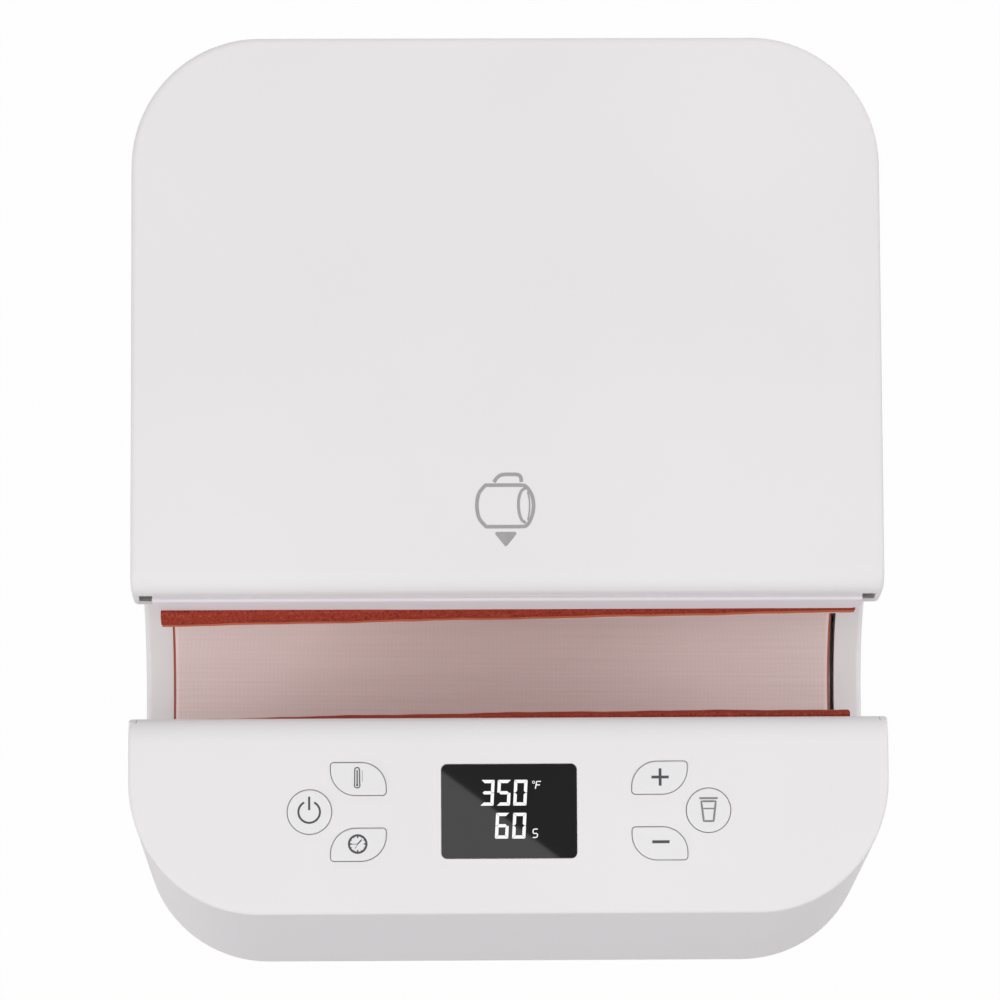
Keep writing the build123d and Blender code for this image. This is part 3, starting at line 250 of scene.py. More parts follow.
def wovenCloth(name):
    # plain weave on the piece's own UV, in metres: threads run along u and v
    weave = {
        "pitch": 0.0005,
        "valley": (0.53, 0.385, 0.37),
        "thread": (0.90, 0.77, 0.75),
        "slubs": (12.1, 880.0, 1.0),  # scale of the thick places, long along u
        "slubHeight": 0.06,
        "relief": 0.4,
        "depth": 0.0001,
        "roughness": (0.62, 0.8),
        "sheen": 0.15,
        "specular": 0.3,
    }
    material, tree, shader = startMaterial(name)
    uv = add(tree, "ShaderNodeUVMap", uv_map="surface").outputs["UV"]
    turns = math.pi / weave["pitch"]
    split = add(tree, "ShaderNodeSeparateXYZ")
    tree.links.new(scaled(tree, uv, (turns, turns, 1.0)), split.inputs["Vector"])
    ridges = [maths(tree, "ABSOLUTE", maths(tree, "SINE", split.outputs[axis])) for axis in "XY"]
    # over is 1 or -1 at the middle of each crossing, in turn; height = the larger thread + slubs
    over = maths(tree, "MULTIPLY", *(maths(tree, "COSINE", split.outputs[axis]) for axis in "XY"))
    warp = maths(tree, "MULTIPLY", ridges[0], remap(tree, over, 0.25, 1.0, -1.0, 1.0))
    weft = maths(tree, "MULTIPLY", ridges[1], remap(tree, over, 1.0, 0.25, -1.0, 1.0))
    slubs = noise(tree, scaled(tree, uv, weave["slubs"]), 1.0, 3.0, 0.6)
    thick = remap(tree, slubs, -weave["slubHeight"], weave["slubHeight"], 0.25, 0.75)
    height = maths(tree, "ADD", maths(tree, "MAXIMUM", warp, weft), thick)
    tint(tree, shader, [(0.05, weave["valley"]), (0.8, weave["thread"])], height)
    relief(tree, shader, height, weave["relief"], weave["depth"])
    gloss(tree, shader, slubs, *weave["roughness"], 0.25, 0.75)
    shader.inputs["Sheen Weight"].default_value = weave["sheen"]
    shader.inputs["Specular IOR Level"].default_value = weave["specular"]
    return material


def circuitBoard(name):
    # solder mask with copper tracks under it
    board = {
        "mask": (0.012, 0.085, 0.035),
        "overCopper": 2.1,  # times as bright
        "trackScale": 140.0,
        "trackEdge": (0.03, 0.06),
        "relief": 0.5,
        "depth": 0.00004,
        "glossScale": 60.0,
        "roughness": (0.25, 0.4),
    }
    material, tree, shader = startMaterial(name)
    vector = objectVector(tree)
    scale = board["trackScale"]
    tracks = add(tree, "ShaderNodeTexVoronoi", Scale=scale, feature="DISTANCE_TO_EDGE", Randomness=0.55)
    tree.links.new(vector, tracks.inputs["Vector"])
    line = remap(tree, tracks.outputs["Distance"], 1.0, 0.0, *board["trackEdge"])
    tint(tree, shader, [(0.0, board["mask"]), (1.0, brighter(board["mask"], board["overCopper"]))], line)
    relief(tree, shader, line, board["relief"], board["depth"])
    gloss(tree, shader, noise(tree, vector, board["glossScale"]), *board["roughness"])
    return material


def printedInk(name, colour):
    # screen-printed ink, a little uneven
    printing = {"patchScale": 700.0, "thinner": 1.12, "roughness": (0.44, 0.56)}
    material, tree, shader = startMaterial(name)
    patch = noise(tree, objectVector(tree), printing["patchScale"])
    tint(tree, shader, [(0.35, colour), (0.7, brighter(colour, printing["thinner"]))], patch)
    gloss(tree, shader, patch, *printing["roughness"])
    return material


def glowingDigit(name):
    # lit segment, a little uneven in its light
    glow = {
        "dim": (0.93, 0.95, 0.97),
        "bright": (1.0, 1.0, 1.0),
        "patchScale": 300.0,
        "strength": 0.95,
        "unlit": (0.05, 0.05, 0.05),
        "roughness": 0.4,
    }
    material, tree, shader = startMaterial(name)
    patch = noise(tree, objectVector(tree), glow["patchScale"])
    tint(tree, shader, [(0.3, glow["dim"]), (0.7, glow["bright"])], patch, "Emission Color")
    shader.inputs["Emission Strength"].default_value = glow["strength"]
    shader.inputs["Base Color"].default_value = (*glow["unlit"], 1.0)
    shader.inputs["Roughness"].default_value = glow["roughness"]
    return material


def darkWindow(name):
    # smoked acrylic: almost black, glossy, with a faint cloudiness
    acrylic = {
        "dark": (0.0065, 0.0065, 0.0067),
        "cloudy": (0.0078, 0.0078, 0.008),
        "cloudScale": 60.0,
        "roughness": (0.012, 0.02),
        "specular": 0.28,
    }
    material, tree, shader = startMaterial(name)
    cloud = noise(tree, objectVector(tree), acrylic["cloudScale"], 2.0)
    tint(tree, shader, [(0.3, acrylic["dark"]), (0.7, acrylic["cloudy"])], cloud)
    gloss(tree, shader, cloud, *acrylic["roughness"])
    shader.inputs["Specular IOR Level"].default_value = acrylic["specular"]
    return material


# Where a value is missing, the default of mouldedPlastic holds
plastics = {
    "shellWhite": {"colour": (0.805, 0.793, 0.80), "roughness": 0.5, "specular": 0.25},
    # jaw lip: the shell white painted darker and lavender, as painted shade and painted red bounce light from
    # the pad
    "lipShadedWhite": {"colour": (0.745, 0.71, 0.74), "roughness": 0.47, "specular": 0.3},
    "keyWhite": {"colour": (0.79, 0.79, 0.792), "roughness": 0.42, "grain": 3400.0, "specular": 0.3},
    "footRubber": {"colour": (0.028, 0.028, 0.03), "roughness": 0.8, "grain": 900.0, "drift": 0.1,
                   "depth": 0.00012, "specular": 0.3},
    "moduleDark": {"colour": (0.03, 0.03, 0.034), "roughness": 0.55, "drift": 0.08},
    "switchBlack": {"colour": (0.02, 0.02, 0.021), "roughness": 0.5, "grain": 1500.0, "drift": 0.1},
    "nylonGear": {"colour": (0.62, 0.6, 0.53), "roughness": 0.45, "grain": 1800.0, "drift": 0.04},
    "coilTape": {"colour": (0.62, 0.42, 0.06), "roughness": 0.4, "grain": 700.0, "drift": 0.14,
                 "depth": 0.0001},
    "sleeveBlack": {"colour": (0.018, 0.02, 0.035), "roughness": 0.3, "grain": 500.0, "drift": 0.1},
    "relayBlue": {"colour": (0.02, 0.07, 0.24), "roughness": 0.4, "grain": 1500.0, "drift": 0.06},
    "inletBlack": {"colour": (0.018, 0.018, 0.019), "roughness": 0.46, "grain": 1700.0, "drift": 0.08},
    "cutoutBody": {"colour": (0.09, 0.035, 0.02), "roughness": 0.5, "grain": 1300.0, "drift": 0.12},
    "heaterMat": {"colour": (0.50, 0.12, 0.055), "roughness": 0.6, "grain": 1100.0, "drift": 0.1,
                  "depth": 0.00008},
}

# Colour, roughness, stretch and scale of the working lines, and how dark the stains are where it isn't 0.1
metals = {
    "zincSheet": ((0.62, 0.64, 0.66), 0.38, (0.05, 1.0, 1.0), 900.0),
    "armSteel": ((0.52, 0.53, 0.55), 0.34, (1.0, 0.12, 0.12), 800.0),
    "rodSteel": ((0.66, 0.66, 0.67), 0.2, (1.0, 0.02, 0.02), 1200.0, 0.04),
    "screwZinc": ((0.68, 0.68, 0.66), 0.3, (1.0, 1.0, 1.0), 1600.0),
    "bronze": ((0.56, 0.36, 0.17), 0.36, (1.0, 0.1, 0.1), 1400.0, 0.2),
    "couplerAlloy": ((0.74, 0.74, 0.75), 0.28, (1.0, 0.03, 0.03), 1300.0, 0.05),
    "motorCan": ((0.44, 0.45, 0.47), 0.42, (0.06, 1.0, 1.0), 800.0),
    "pinNickel": ((0.7, 0.64, 0.5), 0.22, (1.0, 0.05, 1.0), 1500.0, 0.06),
}

inks = {
    "inkDark": (0.055, 0.052, 0.06),
    "inkGrey": (0.205, 0.205, 0.205),
    "inkPale": (0.335, 0.322, 0.328),
}

specialLooks = {
    "windowDark": darkWindow,
    "boardGreen": circuitBoard,
    "foamRed": speckledFoam,
    "clothWeave": wovenCloth,
    "digitWhite": glowingDigit,
}

looks = {name: mouldedPlastic(name, **values) for name, values in plastics.items()}
looks.update({name: workedMetal(name, *values) for name, values in metals.items()})
looks.update({name: printedInk(name, colour) for name, colour in inks.items()})
looks.update({name: makeLook(name) for name, makeLook in specialLooks.items()})

nodeLooks = {
    "shellWhite": ["base_tub", "control_panel", "rear_cover"],
    "lipShadedWhite": ["jaw_lip"],
    "keyWhite": ["power_key", "mode_key", "temperature_key", "timer_key", "plus_key", "minus_key"],
    "footRubber": ["rubber_feet"],
    "windowDark": ["display_window"],
    "moduleDark": ["display_module"],
    "boardGreen": ["control_board", "power_board"],
    "switchBlack": ["key_switches"],
    "zincSheet": ["front_cradle", "jaw_shell", "cradle_saddles", "hinge_brackets", "bearing_blocks",
                  "motor_bracket"],
    "armSteel": ["jaw_arm_left", "jaw_arm_right"],
    "rodSteel": ["hinge_rod", "drive_shaft", "motor_output_shaft"],
    "screwZinc": ["housing_screws", "foot_screws", "board_screws", "jaw_screws", "motor_screws",
                  "floor_screws", "power_board_screws", "inlet_screws"],
    "bronze": ["jaw_bushes", "shaft_bushes"],
    "couplerAlloy": ["shaft_coupler"],
    "motorCan": ["gearmotor"],
    "nylonGear": ["drive_pinions"],
    "coilTape": ["power_transformer"],
    "sleeveBlack": ["power_capacitors"],
    "relayBlue": ["power_relay"],
    "inletBlack": ["mains_inlet"],
    "pinNickel": ["inlet_pins"],
    "cutoutBody": ["cradle_cutout", "jaw_cutout"],
    "foamRed": ["front_foam", "jaw_foam"],
    "heaterMat": ["front_heater", "jaw_heater"],
    "clothWeave": ["front_cloth", "jaw_cloth"],
}


def dress(piece, look):
    piece.data.materials.clear()
    piece.data.materials.append(looks[look])


for look, names in nodeLooks.items():
    for name in names:
        dress(nodes[name], look)
bare = sorted(set(nodes) - {name for names in nodeLooks.values() for name in names})
print("materials:", len(looks), "nodes without one:", bare)

camera = {
    "place": (-0.0257, -0.4354, 1.6620),
    "tilt": 15.52,  # degrees
    "yaw": 0.83,
    "roll": 0.21,
    "lens": 158.4,  # mm
    "sensor": 36.0,
    "clip": (0.05, 50.0),
}


def makeCamera():
    # from looking straight down: rolled about Z, then yawed about Y, then tilted about X
    data = bpy.data.cameras.new("viewCamera")
    data.lens = camera["lens"]
    data.sensor_width = camera["sensor"]
    data.clip_start, data.clip_end = camera["clip"]
    holder = bpy.data.objects.new("viewCamera", data)
    scene.collection.objects.link(holder)
    tilt = Matrix.Rotation(math.radians(camera["tilt"]), 4, "X")
    yaw = Matrix.Rotation(-math.radians(camera["yaw"]), 4, "Y")
    roll = Matrix.Rotation(-math.radians(camera["roll"]), 4, "Z")
    holder.matrix_world = Matrix.Translation(camera["place"]) @ tilt @ yaw @ roll
    scene.camera = holder


makeCamera()
print("camera")

# The three layers of the pad run unbroken from the fixed half of the cavity onto the jaw
pad = {
    "firstLip": (114.3, -2.0, 1.2),  # degrees: at the middle, slant and bow
    "lastLip": (424.4, -3.9, 0.0),
    "halfLength": 0.1255,
    "leftEnd": -0.1259,  # x of the ends
    "rightFront": 0.1237,
    "rightBottom": 0.1241,
    "rightJaw": 0.1273,
    "bottomShare": 0.4,  # of the way from the first lip to the last
    "jawShare": 0.8,
    "bendStart": 0.087,  # of the cavity's radius
    "bendEnd": 0.55,
    "bendTurn": 10.0,
    "around": 180,
    "stations": 120,
    "lipPoints": 7,
    "lipPower": 0.35,
    "rippleShare": 0.025,  # of the way, over which the ripple of a lip dies out
    "sharpAngle": 40.0,
}
layers = {
    "padFoam": {"inner": 0.0018, "outer": 0.0079, "trim": 0.0, "corner": 0.0004, "wave": 0.00018,
                "look": "foamRed", "finish": "silicone_foam", "stands": ("front_foam", "jaw_foam")},
    "padHeater": {"inner": 0.00062, "outer": 0.00178, "trim": 0.0003, "corner": 0.0002, "wave": 0.0001,
                  "look": "heaterMat", "finish": "heater_silicone", "stands": ("front_heater", "jaw_heater")},
}


def padAngle(share, x):
    # angle = first lip + share * (last lip - first lip), each lip at a + b * t + c * t ^ 2 degrees
    t = x / pad["halfLength"]
    first, last = (a + b * t + c * t * t for a, b, c in (pad["firstLip"], pad["lastLip"]))
    return np.radians(first + (last - first) * share)


def padPlace(along, share, trim):
    # x = left end + along * (right end - left end), the right end stepping out towards the jaw lip
    rise = np.clip((share - pad["jawShare"]) / (1 - pad["jawShare"]), 0.0, 1.0)
    lower = np.clip(share / pad["bottomShare"], 0.0, 1.0)
    right = pad["rightFront"] + (pad["rightBottom"] - pad["rightFront"]) * lower
    right = right + (pad["rightJaw"] - pad["rightBottom"]) * rise * rise * (3 - 2 * rise) - trim
    return pad["leftEnd"] + trim + along * (right - pad["leftEnd"] - trim)


def ripple(x, wave):
    # waver of a cut edge = wave * three sines of x, of about 66, 27 and 12 mm
    return wave * (np.sin(x * 95 + 1.0) + 0.6 * np.sin(x * 231 + 2.2) + 0.35 * np.sin(x * 517))


def padLayer(name, inner, outer, trim, corner, wave):
    # closed loop: inner arc, rounded lip, outer arc back, rounded lip; carried along x
    n, m, k = pad["around"], pad["stations"], pad["lipPoints"]
    along = np.linspace(0.0, 1.0, m)[:, None]
    share = np.linspace(0.0, 1.0, n)
    x = padPlace(along, share, trim)
    middle, half = (inner + outer) / 2, (outer - inner) / 2
    turn = np.linspace(0.0, math.pi, k + 2)[1:-1]

    def lip(end, sign, turn):
        # radius = middle - half * cos(turn) ^ lipPower, standing out by corner * sin(turn) + ripple
        place = padPlace(along, end, trim)
        angle = padAngle(end, place) + sign * (corner * np.sin(turn) + ripple(place, wave)) / middle
        side = np.sign(np.cos(turn)) * np.abs(np.cos(turn)) ** pad["lipPower"]
        return aboutCavity(middle - half * side, angle, place)

    # arcs: angle = padAngle + ripple, which dies out away from the lips
    fade = 1 - np.minimum(1.0, np.minimum(share, 1 - share) / pad["rippleShare"])
    angle = padAngle(share, x) + fade * ripple(x, wave) / middle * np.where(share < 0.5, -1, 1)
    innerArc = aboutCavity(inner, angle, x)
    outerArc = aboutCavity(outer, angle, x)[:, ::-1]
    loop = np.concatenate([innerArc, lip(1.0, 1, turn), outerArc, lip(0.0, -1, turn[::-1])], 1)
    count = loop.shape[1]
    faces = gridFaces(m, count, closed=True)
    # end faces: a strip between the inner and outer arcs, and one face at each lip
    i = np.arange(n - 1)
    last = 2 * n + k - 1
    ends = np.stack([i, last - i, last - i - 1, i + 1], -1).tolist()
    ends += [[n - 1 + j for j in range(k + 2)], [(last + j) % count for j in range(k + 2)]]
    for start, step in ((0, 1), ((m - 1) * count, -1)):
        faces += [[start + corner for corner in face][::step] for face in ends]
    piece = meshFrom(name, loop, faces)
    fixNormals(piece)
    piece.data.set_sharp_from_angle(angle=math.radians(pad["sharpAngle"]))
    return piece


def fixNormals(piece):
    # doubles merged, then every face turned outwards
    mesh = bmesh.new()
    mesh.from_mesh(piece.data)
    bmesh.ops.remove_doubles(mesh, verts=mesh.verts, dist=1e-7)
    bmesh.ops.recalc_face_normals(mesh, faces=mesh.faces)
    mesh.to_mesh(piece.data)
    mesh.free()


def bendWithJaw(piece):
    # the real pad flexes across the bottom rear of the cavity; here the piece only has its transform baked
    # into its mesh, and the point along the bend is worked out but not used
    turn = math.radians(pad["bendTurn"])

    def along(share):
        reach = press["cavityRadius"] * share
        y, z = press["cavity"]
        return (0.0, y + reach * math.cos(turn), z + reach * math.sin(turn))

    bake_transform(piece)


def makeLayer(name, inner, outer, trim, corner, wave, look, finish, stands):
    # inner and outer are counted from the cavity's radius, and trim is what each end is short by
    radius = press["cavityRadius"]
    piece = padLayer(name, radius + inner, radius + outer, trim, corner, wave)
    dress(piece, look)
    bendWithJaw(piece)
    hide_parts(*stands)
    return piece


# Facing cloth: one sheet over the heater mat, from lip to lip
facing = {
    "stations": 200,
    "shortAtLip": 0.0022,  # of the way round
    "trim": 0.0009,
    "lift": 0.00008,
    "pucker": 0.00006,
    "thickness": 0.0004,
    "length": 0.2488,
}


def makeCloth():
    # radius = cavity + lift + pucker * |sin(140 x + 3 angle) * sin(11 angle + 60 x)|
    radius = press["cavityRadius"]
    n, m = pad["around"], facing["stations"]
    share = np.linspace(facing["shortAtLip"], 1 - facing["shortAtLip"], n)
    x = padPlace(np.linspace(0.0, 1.0, m)[:, None], share, facing["trim"])
    angle = padAngle(share, x)
    pucker = facing["pucker"] * np.sin(x * 140 + angle * 3) * np.sin(angle * 11 + x * 60)
    points = aboutCavity(radius + facing["lift"] + np.abs(pucker), angle, x)
    cloth = meshFrom("padCloth", points, gridFaces(m, n))
    giveUv(cloth, np.stack([x, angle * radius], -1))
    thick = cloth.modifiers.new("thickness", "SOLIDIFY")
    thick.thickness = facing["thickness"]
    thick.offset = -1.0
    dress(cloth, "clothWeave")
    bendWithJaw(cloth)
    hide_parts("front_cloth", "jaw_cloth")


padPieces = {name: makeLayer(name, **layer) for name, layer in layers.items()}
makeCloth()
print("pad")


def flatPiece(name, shapes, lift, thickness):
    # each shape is a closed outline in (u, v) millimetres on the sloping face, raised by lift
    points, faces = [], []
    for outline in shapes:
        outline = np.asarray(outline, float) / 1000
        after = np.roll(outline, -1, 0)
        area = np.sum(outline[:, 0] * after[:, 1] - outline[:, 1] * after[:, 0])
        if area < 0:
            outline = outline[::-1]
        start, n = len(points), len(outline)
        points.extend(onTop(outline[:, 0], outline[:, 1], lift + thickness))
        points.extend(onTop(outline[:, 0], outline[:, 1], lift))
        faces.append(tuple(range(start, start + n)))
        faces.append(tuple(range(start + 2 * n - 1, start + n - 1, -1)))
        i, j = np.arange(n), np.roll(np.arange(n), -1)
        sides = np.stack([i + n, j + n, j, i], -1) + start
        faces.extend(sides.tolist())
    return meshFrom(name, points, faces, smooth=False)


def stroke(path, width, closed=False, caps=True):
    # offset = path +- normal * width / 2, with half circles at open ends, or a ring of quads when closed
    path = np.asarray(path, float)
    ahead = np.roll(path, -1, 0) - np.roll(path, 1, 0) if closed else np.gradient(path, axis=0)
    ahead /= np.linalg.norm(ahead, axis=1)[:, None]
    side = np.stack([-ahead[:, 1], ahead[:, 0]], -1) * width / 2
    left, right = path + side, path - side
    if closed:
        return list(np.stack([left, np.roll(left, -1, 0), np.roll(right, -1, 0), right], 1))
    if not caps:
        return [np.concatenate([left, right[::-1]])]
    turn = np.linspace(0, math.pi, 9)[1:-1, None]
    lastCap = path[-1] + side[-1] * np.cos(turn) + ahead[-1] * width / 2 * np.sin(turn)
    firstCap = path[0] - side[0] * np.cos(turn) - ahead[0] * width / 2 * np.sin(turn)
    return [np.concatenate([left, lastCap, right[::-1], firstCap])]


def strokes(*lines, caps=True):
    # one open stroke for each (path, width)
    return [shape for path, width in lines for shape in stroke(path, width, caps=caps)]


def arc(centre, radius, first, last, count):
    # point = centre + radius * (cos, sin) of an angle in degrees
    angle = np.radians(np.linspace(first, last, count))
    return np.stack([centre[0] + radius * np.cos(angle), centre[1] + radius * np.sin(angle)], -1)


def curve(points, count=60):
    # Catmull-Rom curve through points, sampled count times
    p = np.asarray(points, float)
    p = np.concatenate([[2 * p[0] - p[1]], p, [2 * p[-1] - p[-2]]])
    t = np.linspace(0, len(p) - 3 - 1e-9, count)
    i = t.astype(int)
    f = (t - i)[:, None]
    a, b, c, d = p[i], p[i + 1], p[i + 2], p[i + 3]
    square, cube = (2 * a - 5 * b + 4 * c - d) * f ** 2, (3 * b - a - 3 * c + d) * f ** 3
    return 0.5 * (2 * b + (c - a) * f + square + cube)


# Printed signs in millimetres, each drawn about its own middle and then moved; lifts and thickness in metres
marks = {"keyLift": 0.00051, "lidLift": 0.00001, "thickness": 0.00004}


def printMark(name, shapes, lift, body, look):
    # a printed sign moves with the body that carries it
    piece = flatPiece(name, shapes, lift, marks["thickness"])
    dress(piece, look)
    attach(piece, body)


def powerShapes():
    # ring open at the top, with a bar in the opening
    return strokes((arc((0, 0), 3.85, 122, 418, 60), 0.72), ([(0, 1.0), (0, 5.2)], 0.76))


def clockShapes():
    # dial ring, twelve ticks pointing inwards, each third one longer, and three hands
    shapes = stroke(arc((0, 0), 3.12, 0, 360, 61)[:-1], 0.76, closed=True)
    outer = 2.9
    for tick in range(12):
        reach, width = (0.75, 0.5) if tick % 3 == 0 else (0.45, 0.22)
        way = np.array([math.sin(math.radians(30 * tick)), math.cos(math.radians(30 * tick))])
        shapes += stroke([way * (outer - reach), way * outer], width, caps=False)
    hour, minute, second = [(0, 0), (1.35, 1.45)], [(0, 0), (-2.0, -0.05)], [(0.1, 0), (-0.95, -1.55)]
    return shapes + strokes((hour, 0.42), (minute, 0.2), (second, 0.18))


def thermometerShapes():
    # tube with a bulb, its thread of fluid and the drop in the bulb
    top, bulb = (0, 2.7), (0, -2.75)
    tube = np.concatenate([arc(top, 0.85, 0, 180, 13), arc(bulb, 1.0, 155, 385, 17)])
    thread = stroke([(0, 2.5), (0, -2.4)], 0.46)
    return stroke(tube, 0.4, closed=True) + thread + [arc(bulb, 0.4, 0, 342, 16)]


def scaleShapes():
    # line beside the thermometer
    return stroke([(1.85, 2.4), (1.85, -1.5)], 0.2)


def cupShapes():
    # plain tumbler outline: tapered cup, lid line and fill line
    corners = [(-2.6, 3.2), (2.6, 3.2), (1.75, -3.9), (-1.75, -3.9)]
    cup = np.concatenate([np.linspace(corners[i], corners[(i + 1) % 4], 8)[:-1] for i in range(4)])
    lidLine, fillLine = [(-3.0, 4.3), (3.0, 4.3)], [(-1.7, 0.6), (1.7, 0.6)]
    return stroke(cup, 0.7, closed=True) + strokes((lidLine, 0.75), (fillLine, 0.5))


def plusShapes():
    # bar across, and half a bar above and below it, so that no two overlap
    reach, width = 3.1, 1.0
    across, above = [(-reach, 0), (reach, 0)], [(0, width / 2), (0, reach)]
    return strokes((across, width), (above, width), (-np.array(above), width), caps=False)


def minusShapes():
    # bar across
    return stroke([(-3.1, 0), (3.1, 0)], 1.05, caps=False)


signs = {
    "powerSign": (powerShapes, (-71.6, 36.5), "power_key_cap", "inkDark"),
    "clockSign": (clockShapes, (-54.25, 25.0), "timer_key_cap", "inkDark"),
    "thermometerSign": (thermometerShapes, (-54.4, 48.8), "temperature_key_cap", "inkDark"),
    "thermometerScale": (scaleShapes, (-54.4, 48.8), "temperature_key_cap", "inkPale"),
    "modeSign": (cupShapes, (71.5, 36.5), "mode_key_cap", "inkGrey"),
    "plusSign": (plusShapes, (54.2, 48.45), "plus_key_cap", "inkDark"),
    "minusSign": (minusShapes, (54.3, 25.3), "minus_key_cap", "inkDark"),
}
for name, (shapes, place, body, look) in signs.items():
    printMark(name, [shape + place for shape in shapes()], marks["keyLift"], body, look)
print("key signs")

# Mug pictogram on the lid in millimetres: a mug lying with its handle up, and an arrow towards the slot
pictogram = {
    "line": 1.32,
    "innerLine": 1.08,
    "thinLine": 0.56,
    "base": [(-8.0, 153.9), (-10.3, 150.9), (-11.05, 146.6), (-10.3, 142.1), (-7.8, 138.85)],
    "mouth": [(4.3, 138.85), (6.9, 139.3), (8.75, 142.6), (9.4, 146.4), (8.75, 150.3), (6.7, 153.4),
              (4.6, 153.9)],
    "handle": [(-4.85, 155.0), (-3.9, 156.4), (-2.6, 157.45), (-1.2, 157.75), (0.8, 157.8), (3.2, 157.75),
               (4.45, 157.3), (4.95, 156.2), (5.0, 155.0)],
    "rim": [(6.15, 152.6), (5.0, 151.7), (4.15, 149.3), (3.95, 146.5), (4.2, 143.9), (5.05, 141.4),
            (6.2, 140.4)],
    "shade": [(7.3, 151.3), (7.85, 148.8), (7.95, 146.4), (7.85, 144.2), (7.35, 141.4)],
    "arrow": [((-3.85, 136.35), 90, 218), ((-0.65, 132.4), 218, 322), ((2.55, 136.35), -38, 90)],
    "arrowCorner": 0.62,
}


def pictogramShapes():
    # body = base and mouth curves joined by straight lines; the arrow is three rounded corners
    base, mouth = curve(pictogram["base"], 40), curve(pictogram["mouth"])
    below, above = np.linspace(base[-1], mouth[0], 14)[1:-1], np.linspace(mouth[-1], base[0], 14)[1:-1]
    body = np.concatenate([base, below, mouth, above])
    corner = pictogram["arrowCorner"]
    arrow = [arc(centre, corner, first, last, 8) for centre, first, last in pictogram["arrow"]]
    shapes = stroke(body, pictogram["line"], closed=True)
    shapes += stroke(curve(pictogram["handle"]), pictogram["line"], caps=False)
    shapes += stroke(curve(pictogram["rim"], 50), pictogram["innerLine"])
    shapes += stroke(curve(pictogram["shade"], 30), pictogram["thinLine"])
    return shapes + [np.concatenate(arrow)]


printMark("mugPictogram", pictogramShapes(), marks["lidLift"], "housing", "inkPale")
print("pictogram")

# Digits of the display in millimetres, as lit segments on the dark window; lift and thickness in metres
display = {
    "lift": 0.00002,
    "thickness": 0.00003,
    "stroke": 1.14,
    "gap": 0.17,
    "lean": 0.052,
    "digitWidth": 4.75,
    "digitHeight": 9.2,
    "rows": [(38.5, (("3", -10.35), ("5", -4.45), ("0", 1.45))), (26.7, (("6", -5.15), ("0", 1.0)))],
    "degree": (8.83, 46.8),
    "degreeRadius": 0.42,
    "degreeLine": 0.2,
    "letters": [([(9.45, 44.5), (9.95, 47.1), (11.45, 47.1)], 0.4),
                ([(9.8, 45.85), (11.1, 45.85)], 0.38),
                ([(10.2, 30.05), (8.95, 30.05), (8.6, 29.75), (8.5, 28.85), (8.8, 28.5), (9.8, 28.5),
                  (10.15, 28.2), (10.0, 27.35), (9.6, 27.05), (8.4, 27.05)], 0.38)],
}
segments = {"3": "abcdg", "5": "acdfg", "0": "abcdef", "6": "acdefg"}


def segmentShapes(digit, u, v):
    # lower left corner at (u, v); u gains lean * height above the foot; a..g in the usual order
    w, h, t, g = display["digitWidth"], display["digitHeight"], display["stroke"], display["gap"] / 2
    m = h / 2
    outlines = {
        "a": [(g, h), (w - g, h), (w - t - g, h - t), (t + g, h - t)],
        "d": [(g, 0), (w - g, 0), (w - t - g, t), (t + g, t)],
        "b": [(w, h - g), (w, m + g), (w - t / 2, m + g), (w - t, m + t / 2 + g), (w - t, h - t - g)],
        "c": [(w, g), (w, m - g), (w - t / 2, m - g), (w - t, m - t / 2 - g), (w - t, t + g)],
        "f": [(0, h - g), (0, m + g), (t / 2, m + g), (t, m + t / 2 + g), (t, h - t - g)],
        "e": [(0, g), (0, m - g), (t / 2, m - g), (t, m - t / 2 - g), (t, t + g)],
        "g": [(t / 2 + g, m), (t + g, m + t / 2), (w - t - g, m + t / 2), (w - t / 2 - g, m),
              (w - t - g, m - t / 2), (t + g, m - t / 2)],
    }
    return [np.array([(u + x + y * display["lean"], v + y) for x, y in outlines[s]]) for s in segments[digit]]


def displayShapes():
    # two rows of digits, then the unit signs: a degree ring with F, and S
    shapes = []
    for v, row in display["rows"]:
        for digit, u in row:
            shapes += segmentShapes(digit, u, v)
    ring = arc(display["degree"], display["degreeRadius"], 0, 360, 25)[:-1]
    shapes += stroke(ring, display["degreeLine"], closed=True)
    return shapes + strokes(*display["letters"], caps=False)


digits = flatPiece("displayDigits", displayShapes(), display["lift"], display["thickness"])
dress(digits, "digitWhite")
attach(digits, "housing")
print("display")

studio = {
    "floorSize": 12.0,
    "floorDrop": -0.0003,
    "floorColour": (0.3, 0.297, 0.3),
    "floorPatches": (3.0, 0.99),  # scale, and the factor of the darker ones
    "floorRoughness": 0.9,
    "floorSpecular": 0.1,
    "floorGlow": 0.985,  # share of its own white, where it is seen
    "worldColour": (0.95, 0.93, 0.945),
    "worldStrength": 0.54,
    "aim": (0.0, 0.0, 0.1),  # of the boxes without a turn
    "boxes": {
        "front": {"place": (-0.331, -0.946, 2.4), "turn": -36.87, "size": 1.2, "power": 10.7},
        "left": {"place": (-0.95, -0.06, 2.2), "turn": 0.0, "size": 1.0, "power": 3.0},
        "right": {"place": (0.95, -0.06, 2.2), "turn": 0.0, "size": 1.0, "power": 3.0},
        "lowLeft": {"place": (-1.7, -1.2, 0.6), "size": 1.0, "power": 14.0},
        "lowRight": {"place": (1.5, -0.7, 0.8), "size": 1.0, "power": 9.0},
        "rear": {"place": (0.4, 1.8, 0.8), "size": 1.0, "power": 9.0},
    },
}


def mixToOutput(tree, output, share, plain, seen):
    # plain where share is 0, seen where it is 1
    mix = tree.nodes.new("ShaderNodeMixShader")
    for socket, source in zip(mix.inputs, (share, plain, seen)):
        tree.links.new(source, socket)
    tree.links.new(mix.outputs["Shader"], tree.nodes[output].inputs["Surface"])


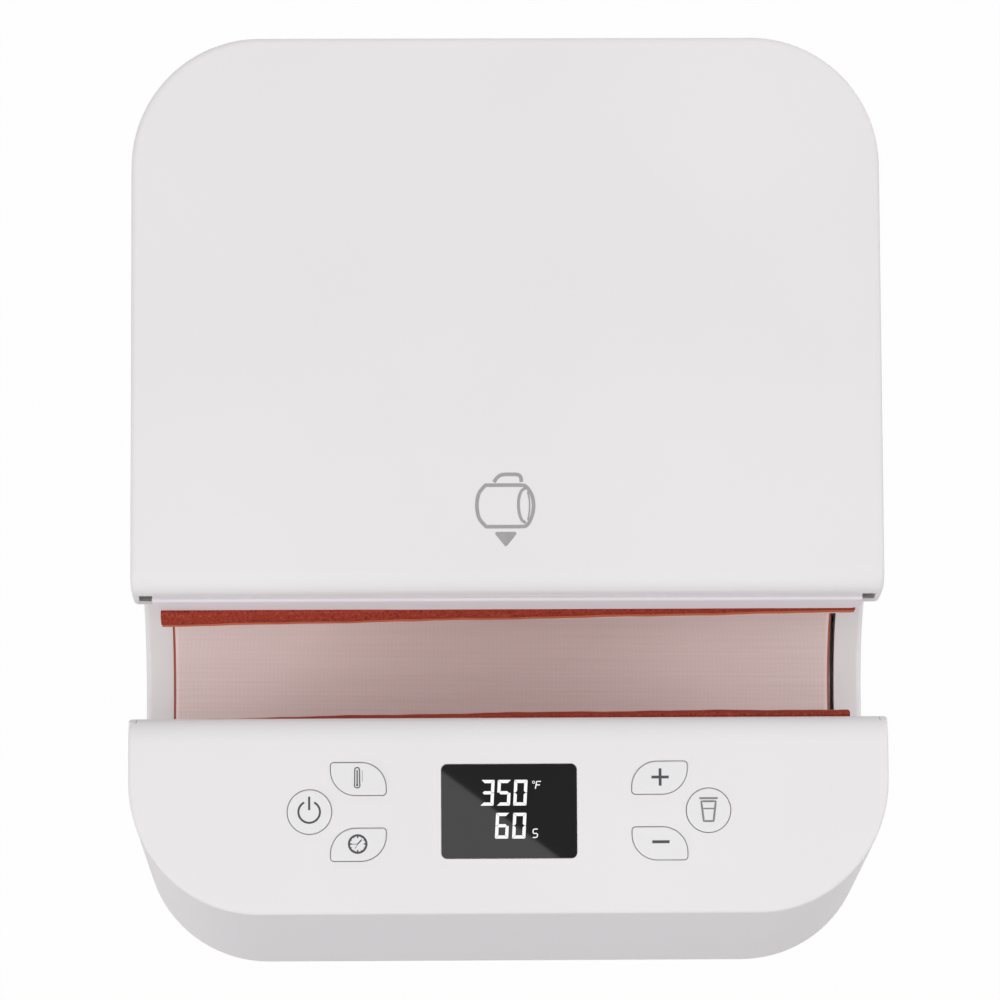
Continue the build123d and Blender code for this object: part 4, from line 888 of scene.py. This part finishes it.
def makeFloor():
    # a level square, just below the feet
    half, z = studio["floorSize"] / 2, studio["floorDrop"]
    corners = [(-half, -half, z), (half, -half, z), (half, half, z), (-half, half, z)]
    floor = meshFrom("studioFloor", corners, [(0, 1, 2, 3)], smooth=False)
    material, tree, shader = startMaterial("floorPale")
    colour, (scale, darker) = studio["floorColour"], studio["floorPatches"]
    patch = noise(tree, objectVector(tree), scale)
    tint(tree, shader, [(0.3, brighter(colour, darker)), (0.7, colour)], patch)
    shader.inputs["Roughness"].default_value = studio["floorRoughness"]
    shader.inputs["Specular IOR Level"].default_value = studio["floorSpecular"]
    # seen directly, in a reflection or through glass, most of the floor's light is its own white
    white = add(tree, "ShaderNodeEmission", Color=(1.0, 1.0, 1.0, 1.0), Strength=1.0)
    path = tree.nodes.new("ShaderNodeLightPath")
    seen = maths(tree, "MAXIMUM", path.outputs["Is Camera Ray"], path.outputs["Is Transmission Ray"])
    seen = maths(tree, "MAXIMUM", seen, path.outputs["Is Glossy Ray"])
    share = maths(tree, "MULTIPLY", seen, studio["floorGlow"])
    mixToOutput(tree, "Material Output", share, shader.outputs["BSDF"], white.outputs["Emission"])
    floor.data.materials.append(material)


def makeWorld():
    # pale light from all sides, and plain white where the camera looks past the floor
    world = bpy.data.worlds.new("studioWorld")
    world.use_nodes = True
    tree = world.node_tree
    back = tree.nodes["Background"]
    back.inputs["Color"].default_value = (*studio["worldColour"], 1.0)
    back.inputs["Strength"].default_value = studio["worldStrength"]
    white = add(tree, "ShaderNodeBackground", Color=(1.0, 1.0, 1.0, 1.0), Strength=1.0)
    seen = tree.nodes.new("ShaderNodeLightPath").outputs["Is Camera Ray"]
    mixToOutput(tree, "World Output", seen, back.outputs["Background"], white.outputs["Background"])
    scene.world = world


def makeLight(name, box):
    # a box with a turn hangs level and is turned about Z, one without faces the press
    data = bpy.data.lights.new(name, "AREA")
    data.shape = "SQUARE"
    data.size = box["size"]
    data.energy = box["power"]
    lamp = bpy.data.objects.new(name, data)
    scene.collection.objects.link(lamp)
    lamp.location = box["place"]
    if "turn" in box:
        lamp.rotation_euler = (0.0, 0.0, math.radians(box["turn"]))
    else:
        way = Vector(studio["aim"]) - Vector(box["place"])
        lamp.rotation_euler = way.to_track_quat("-Z", "Y").to_euler()


makeFloor()
makeWorld()
for name, box in studio["boxes"].items():
    makeLight(name + "Softbox", box)
scene.view_settings.view_transform = "Standard"
print("studio")

bpy.context.view_layer.update()
